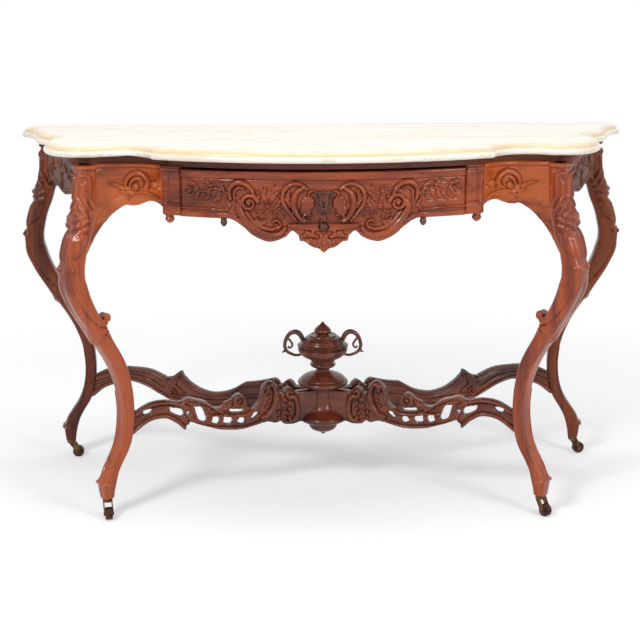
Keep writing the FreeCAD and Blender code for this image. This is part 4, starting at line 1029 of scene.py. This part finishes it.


# the side panels take the darker copy of the wood, which is painted shade
makePair("carved_flank", [flankPart()], flankWoodInShade, "{}_side_panel")
print("side panels made")

# stretcher
hub = {"x": 0.0, "y": 60.0}
# how far a board starts behind the foot's centre, its half thickness, and the grid that it is cut from,
# which stops short of the hub's centre
armShape = {"root": -61.0, "half": 12.0, "cell": 1.5, "start": 2.0, "short": 119.5, "low": 166.0,
            "high": 304.0}
# outlines are smooth runs that meet at corners: distance along the board, height
frontArm = {
    "outline": [[(8, 246), (27, 257), (61, 275), (99, 278), (138, 270), (158, 277), (177, 272), (202, 263),
                 (228, 243)],
                [(228, 243), (246, 243), (255, 254), (271, 260), (290, 272), (304, 266), (311, 252),
                 (314, 239)],
                [(314, 239), (327, 229), (343, 240), (352, 262), (357, 282), (366, 293), (377, 297),
                 (388, 291), (396, 278), (400, 266), (405, 260)],
                [(405, 260), (405, 190)],
                [(405, 190), (390, 185), (372, 190), (353, 189), (334, 186), (294, 180), (246, 185),
                 (210, 197), (188, 205), (162, 216)],
                [(162, 216), (154, 207), (148, 197), (139, 204), (126, 217), (98, 231), (59, 228), (25, 208),
                 (8, 190)]],
    "holes": [[(43, 259), (66, 259), (62, 249), (46, 247)], [(110, 260), (143, 249), (144, 231), (116, 244)],
              [(153, 243), (163, 242), (163, 233), (154, 234)],
              [(174, 253), (194, 248), (206, 213), (186, 217)],
              [(223, 223), (239, 217), (236, 200), (219, 207)],
              [(251, 218), (273, 211), (271, 197), (251, 201)],
              [(292, 211), (306, 207), (304, 192), (286, 200)],
              [(333, 221), (346, 217), (332, 203), (324, 208)],
              [(268, 238), (302, 236), (302, 225), (268, 228)]]}
rearArm = {
    "outline": [[(6, 228), (20, 240), (60, 259), (95, 266), (131, 269), (182, 267), (232, 249)],
                [(232, 249), (252, 254), (266, 264), (276, 270), (284, 258), (295, 246), (329, 227),
                 (373, 221), (420, 232), (464, 258)],
                [(464, 258), (500, 264), (530, 272), (548, 276), (561.5, 268)],
                [(561.5, 188), (520, 189), (470, 184), (400, 178), (340, 176), (285, 181), (245, 186)],
                [(245, 186), (210, 202), (174, 218), (129, 228), (82, 217), (42, 200), (6, 172)]],
    "holes": []}


def armFrame(end):
    # where a board starts at its leg, its level directions along and out of its front, and how far the hub is
    foot, outward, across = legFrame(end)
    start = foot + armShape["root"] * outward
    run = np.array([hub["x"], hub["y"], 0]) - start
    run[2] = 0
    length = np.linalg.norm(run)
    ahead = run / length
    side = np.array([ahead[1], -ahead[0], 0])
    if side[1] > 0:
        side = -side
    return start, ahead, side, length


def armCarving(field, end):
    # mouldings that follow the board's edges, scrolls and leaves between them
    if end == "rear":
        carve(field, "rib",
              [(0, 230), (30, 243), (80, 259), (131, 263), (182, 261), (232, 243), (262, 226), (282, 212)],
              [5.0], 4.0, moat=1.4)
        carve(field, "rib", [(0, 206), (40, 222), (82, 238), (130, 246), (178, 240), (214, 224), (240, 206)],
              [3.2], 3.4, moat=1.2)
        carve(field, "rib", [(0, 178), (42, 206), (82, 223), (129, 234), (174, 224), (210, 208), (240, 194)],
              [4.0], 3.6, moat=1.2)
        carve(field, "leaf", [(236, 214), (252, 236), (276, 266)], [12, 13, 3], 6.0, 5)
        carve(field, "rib",
              [(284, 250), (300, 236), (332, 221), (373, 215), (420, 226), (464, 251), (560, 261)],
              [5.0], 4.0, moat=1.4)
        carve(field, "rib", [(262, 200), (310, 200), (373, 197), (430, 206), (480, 222), (560, 232)],
              [3.4], 3.2, moat=1.2)
        carve(field, "rib", [(245, 193), (285, 188), (340, 183), (400, 185), (470, 191), (560, 195)],
              [4.4], 3.8, moat=1.2)
        volute(field, 252, 212, 14, 2.6, 1.3, 4.0, 6.0)
        return
    carve(field, "rib", [(4, 243), (27, 252), (61, 269), (99, 272), (138, 263), (160, 252)],
          [4.4], 5.0, moat=1.4)
    carve(field, "rib", [(10, 232), (30, 241), (50, 244)], [3.0], 3.0, moat=1.0)
    carve(field, "rib", [(66, 261), (99, 263), (122, 258)], [2.6], 3.0, moat=1.0)
    carve(field, "rib", [(4, 198), (25, 214), (59, 234), (98, 238), (122, 226), (140, 210), (148, 201)],
          [5.2, 5.2, 5.2, 5.2, 5.6, 6.5, 5], 5.5, moat=1.4)
    carve(field, "rib", [(140, 262), (152, 272), (168, 273), (190, 266), (214, 252), (238, 234), (262, 222)],
          [3.4, 4.6, 5, 5, 4.6, 4, 3], 6.5)
    carve(field, "leaf", [(140, 258), (156, 240), (166, 220), (158, 208)], [6, 9, 9, 3], 6.0, 5)
    carve(field, "leaf", [(196, 252), (210, 236), (216, 216)], [5, 10, 5], 6.0, 5)
    carve(field, "leaf", [(232, 238), (248, 240), (262, 246), (270, 256)], [5, 8, 7, 2], 6.0, 5)
    carve(field, "rib", [(276, 246), (282, 262), (294, 268), (304, 260), (304, 248), (294, 243)],
          [3, 4, 4.6, 4.6, 4, 2.6], 6.5)
    bead(field, 291, 253, 4.4, 6.0)
    # lower border with its row of openings, then the great scroll that meets the hub
    carve(field, "rib",
          [(156, 212), (188, 203), (214, 195), (246, 189), (294, 184), (334, 190), (356, 198), (374, 210)],
          [4.6], 5.0, moat=1.2)
    carve(field, "rib",
          [(206, 226), (234, 224), (262, 220), (300, 217), (322, 222), (336, 232), (346, 248), (352, 270),
           (362, 290)],
          [3.4, 3.4, 3.6, 4, 5, 5.5, 6, 6, 4], 6.5, moat=1.2)
    carve(field, "rib",
          [(350, 206), (368, 212), (382, 228), (390, 250), (389, 272), (380, 288), (368, 285), (364, 272)],
          [5, 7, 8, 8.5, 8.5, 7.5, 6, 4], 10.0, moat=1.2)
    for s, z, r in ((364, 232, 5.0), (371, 246, 5.4), (372, 261, 5.0), (397, 214, 5.0), (398, 199, 4.4)):
        bead(field, s, z, r, 6.5)


def armOutline(shape):
    # the board's own outline, then a closed loop for each opening
    runs = [smoothPath(run, 6) for run in shape["outline"]]
    holes = [smoothPath(hole + hole[:1], 5)[:-1] for hole in shape["holes"]]
    return [np.vstack(runs)] + holes


def armPart(end, shape):
    # a flat pierced board with the same relief on both faces
    start, ahead, side, length = armFrame(end)
    us = np.arange(armShape["start"], length - armShape["short"], armShape["cell"])
    vs = np.arange(armShape["low"], armShape["high"], armShape["cell"])
    gridX, gridZ = np.meshgrid(us, vs)
    gap = outlineGap(gridX, gridZ, armOutline(shape))
    field = blankMap(gridX, gridZ)
    armCarving(field, end)
    face = armShape["half"] - 3.0 + field["h"] + roundedRim(gap, 4.0)
    return panelPart(us, vs, gap, face, -face, flatPlace(start, ahead, side))


for end, shape in (("front", frontArm), ("rear", rearArm)):
    makePair("pierced_" + end + "_arm", [armPart(end, shape)], stretcherWood, end + "_{}_stretcher_arm")
print("stretcher arms made")

# hub and urn; turned profiles are radius, height
turned = {
    "column": [(0, 271), (31, 271), (33, 267), (28, 262), (26, 250), (26, 238), (28, 224), (34, 210),
               (45, 200), (57, 193), (62, 187), (61, 181), (56, 177), (48, 174), (36, 171), (0, 171)],
    "drop": [(0, 171), (35, 171), (37, 167), (36, 161), (31, 154), (22, 149), (12, 146), (8, 144), (5, 140),
             (0, 137)],
    "foot": [(0, 271), (52, 271), (58, 272.5), (63, 276), (65, 281), (62, 285), (57, 286.5), (58, 289),
             (52, 295), (40, 301), (27, 305), (20, 308), (17, 312), (18, 316), (21, 318), (0, 318)],
    "body": [(0, 318), (22, 318), (27, 320), (32, 323), (33, 328), (29, 330), (28, 333), (32, 336), (34, 340),
             (40, 343), (50, 348), (59, 356), (64, 366), (63.5, 370), (60, 372), (62, 375), (61, 378),
             (0, 378)],
    "lid": [(0, 378), (60, 378), (60.5, 381), (57, 384), (54, 389), (52, 390), (50, 393), (42, 399),
            (35, 401.5), (35, 404.5), (30, 405), (26, 403), (18, 403.5), (16, 406), (19, 409), (22, 413),
            (21, 418), (16, 424), (9, 430), (5, 434), (2, 438), (0, 439)]}


def turnedPart(name):
    # a profile turned about the hub's upright axis
    return lathePart(smoothPath(turned[name], 4), (hub["x"], hub["y"]), 112)


wingShape = {
    # half thickness, grid, and the outline as smooth runs: distance from the hub's axis, height
    "half": 13.0, "cell": 1.5, "start": 10.0, "end": 122.5, "low": 174.0, "high": 290.0,
    "outline": [[(10, 262), (78, 262)], [(78, 262), (85, 270), (95, 276), (105, 270), (110, 261)],
                [(110, 261), (121, 262)],
                [(121, 190), (108, 180), (84, 178), (70, 182)], [(70, 182), (10, 182)]]}


def wingPart(angle):
    # flat-faced block that stands between the column and an arm's scroll
    out = np.array([math.cos(angle), math.sin(angle), 0])
    side = np.array([-math.sin(angle), math.cos(angle), 0])
    us = np.arange(wingShape["start"], wingShape["end"], wingShape["cell"])
    vs = np.arange(wingShape["low"], wingShape["high"], wingShape["cell"])
    gridX, gridZ = np.meshgrid(us, vs)
    gap = outlineGap(gridX, gridZ, [np.vstack([smoothPath(run, 6) for run in wingShape["outline"]])])
    field = blankMap(gridX, gridZ)
    # upright scroll that bounds the flat face, curled at both ends, with a beaded strand beyond it
    carve(field, "rib",
          [(92, 262), (98, 268), (104, 262), (98, 252), (86, 252), (78, 240), (75, 220), (77, 200), (86, 190),
                         (96, 190), (98, 198)], [4, 5, 6, 7, 7, 6.5, 6.5, 7, 6, 5, 4], 9.0, moat=1.2)
    for z, r in ((236, 6.4), (220, 5.8)):
        bead(field, 97, z, r, 8.5)
    bead(field, 111, 246, 6.5, 6.0)
    bead(field, 112, 230, 5.5, 6.0)
    carve(field, "leaf", [(100, 206), (110, 212), (121, 210)], [4, 7, 5], 6.0, 3)
    carve(field, "rib", [(86, 183), (104, 186), (121, 196)], [3.0], 4.0)
    face = wingShape["half"] - 1.5 * (gridX > 70) + field["h"] + roundedRim(gap, 3.0)
    return panelPart(us, vs, gap, face, -face, flatPlace(np.array([hub["x"], hub["y"], 0]), out, side))


wings = []
for end in ("front", "rear"):
    ahead = armFrame(end)[1]
    wing = wingPart(math.atan2(-ahead[1], -ahead[0]))
    wings += [wing, mirroredPart(wing)]
makePiece("stretcher_block", wings + [turnedPart("column")], stretcherWood, "table",
          ["stretcher_hub"])
for node, profile in (("hub_drop", "drop"), ("urn_foot", "foot"), ("urn_body", "body"), ("urn_lid", "lid")):
    makePiece("turned_" + node, [turnedPart(profile)], urnWood, "table", [node])

# each bar of a handle: distance from the urn's axis and height, then half widths in and across its plane
handle = {
    "loop": ([(50, 386), (54, 398), (61, 408), (71, 412), (83, 408), (92, 397), (97, 383), (97, 370),
              (91, 360), (81, 354), (69, 350), (54, 352)],
             [5, 6.4, 6.8, 6.2, 5.6, 5, 4.6, 4.4, 4.2, 3.8, 3.4, 3.2],
             [5, 6, 6.2, 6, 5.4, 5, 4.6, 4.4, 4.2, 4, 3.6, 3.4]),
    "curl": ([(90, 396), (83, 388), (78, 378), (83, 370), (90, 373)], [3.0, 3.0, 2.8, 2.6, 3.2],
             [3.4, 3.2, 3, 3, 3.2]),
    "spur": ([(92, 364), (99, 361), (105, 357)], [4, 3.4, 1.0], [3.6, 3.2, 1.0])}


def barPart(points, wide, deep):
    # a rounded bar bent in the plane through the urn's axis
    curve = smoothPath(points, 8)
    path = np.stack([hub["x"] + curve[:, 0], np.full(len(curve), hub["y"]), curve[:, 1]], -1)
    return tubePart(path, wide, deep, (0, 1.0, 0), 18)


makePair("bent_urn_handle", [barPart(*bar) for bar in handle.values()], urnWood, "urn_handle_{}")
print("urn made")

# plain parts keep their own shape and take a finish
for name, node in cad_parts.items():
    if "caster_wheel" in name:
        finish = wheelBrass
    elif "caster" in name:
        finish = brass
    elif name in ("lock_case", "lock_bolt", "frame_screws"):
        finish = lockSteel
    elif name.endswith("top_rail"):
        finish = railWood
    else:
        finish = plainWood
    node.data.materials.clear()
    node.data.materials.append(finish)
print("plain parts finished")


# floor, world and lamps
studio = {"floor": "#F4F4F4", "floorHalf": 9.0, "glow": 0.26, "fadeFrom": 1.0, "fadeTo": 2.1,
          "ambient": 0.46, "ambientTint": (0.95, 0.97, 1.0, 1.0)}


def directRays(tree):
    # 1 for rays from the camera, in reflections and through glass, 0 for the light that falls on the table
    light = addNode(tree, "ShaderNodeLightPath").outputs
    largest = {"operation": "MAXIMUM"}
    seen = addNode(tree, "ShaderNodeMath", largest, {0: light["Is Camera Ray"], 1: light["Is Glossy Ray"]})
    return addNode(tree, "ShaderNodeMath", largest,
                   {0: seen.outputs[0], 1: light["Is Transmission Ray"]}).outputs[0]


def makeFloor():
    # a painted floor that takes a soft shadow, lifted by a glow that only direct rays see; away from the
    # table it turns into plain white for them, so it has no horizon
    material, tree, shader = newMaterial("paintedStudioFloor")
    shader.inputs["Base Color"].default_value = toLinear(studio["floor"])
    shader.inputs["Roughness"].default_value = 0.9
    shader.inputs["Specular IOR Level"].default_value = 0.1
    direct = directRays(tree)
    glow = addNode(tree, "ShaderNodeEmission", {"Strength": studio["glow"]})
    none = addNode(tree, "ShaderNodeEmission", {"Strength": 0.0})
    extra = addNode(tree, "ShaderNodeMixShader", links={0: direct, 1: none.outputs[0], 2: glow.outputs[0]})
    both = addNode(tree, "ShaderNodeAddShader", links={0: shader.outputs[0], 1: extra.outputs[0]})
    coords = addNode(tree, "ShaderNodeTexCoord").outputs["Object"]
    reach = addNode(tree, "ShaderNodeVectorMath", {"operation": "LENGTH"}, {0: coords})
    far = addNode(tree, "ShaderNodeMapRange", {"From Min": studio["fadeFrom"], "From Max": studio["fadeTo"]},
                  {"Value": reach.outputs["Value"]})
    fade = addNode(tree, "ShaderNodeMath", {"operation": "MULTIPLY"}, {0: far.outputs[0], 1: direct})
    plain = addNode(tree, "ShaderNodeEmission", {"Strength": 1.0})
    whole = addNode(tree, "ShaderNodeMixShader",
                    links={0: fade.outputs[0], 1: both.outputs[0], 2: plain.outputs[0]})
    tree.links.new(whole.outputs[0], tree.nodes["Material Output"].inputs["Surface"])
    mesh = bpy.data.meshes.new("studio_floor")
    h = studio["floorHalf"]
    mesh.from_pydata([(-h, -h, 0), (h, -h, 0), (h, h, 0), (-h, h, 0)], [], [(0, 1, 2, 3)])
    mesh.materials.append(material)
    floor = bpy.data.objects.new("studio_floor", mesh)
    scene.collection.objects.link(floor)


def makeWorld():
    # a faintly cool ambient light, plain white to direct rays
    world = bpy.data.worlds.new("studio")
    scene.world = world
    world.use_nodes = True
    tree = world.node_tree
    ambient = tree.nodes["Background"]
    ambient.inputs["Color"].default_value = studio["ambientTint"]
    ambient.inputs["Strength"].default_value = studio["ambient"]
    white = addNode(tree, "ShaderNodeBackground", {"Strength": 1.0})
    white.inputs["Color"].default_value = (1, 1, 1, 1)
    mix = addNode(tree, "ShaderNodeMixShader",
                  links={0: directRays(tree), 1: ambient.outputs[0], 2: white.outputs[0]})
    tree.links.new(mix.outputs[0], tree.nodes["World Output"].inputs["Surface"])


lamps = {"key": {"place": (-1.9, -2.6, 2.9), "size": 0.8, "power": 58},
         "fill": {"place": (2.4, -2.4, 1.9), "size": 0.9, "power": 32},
         "top": {"place": (0.2, -0.3, 3.4), "size": 2.0, "power": 32}}
lampTarget = Vector((0, 0, 0.45))


def addLamps():
    # soft square lamps, all turned towards the table's middle
    for name, values in lamps.items():
        lamp = bpy.data.objects.new(name, bpy.data.lights.new(name, "AREA"))
        lamp.data.size = values["size"]
        lamp.data.energy = values["power"]
        lamp.location = values["place"]
        lamp.rotation_euler = (lampTarget - lamp.location).to_track_quat("-Z", "Y").to_euler()
        scene.collection.objects.link(lamp)


makeFloor()
makeWorld()
addLamps()
print("studio ready")
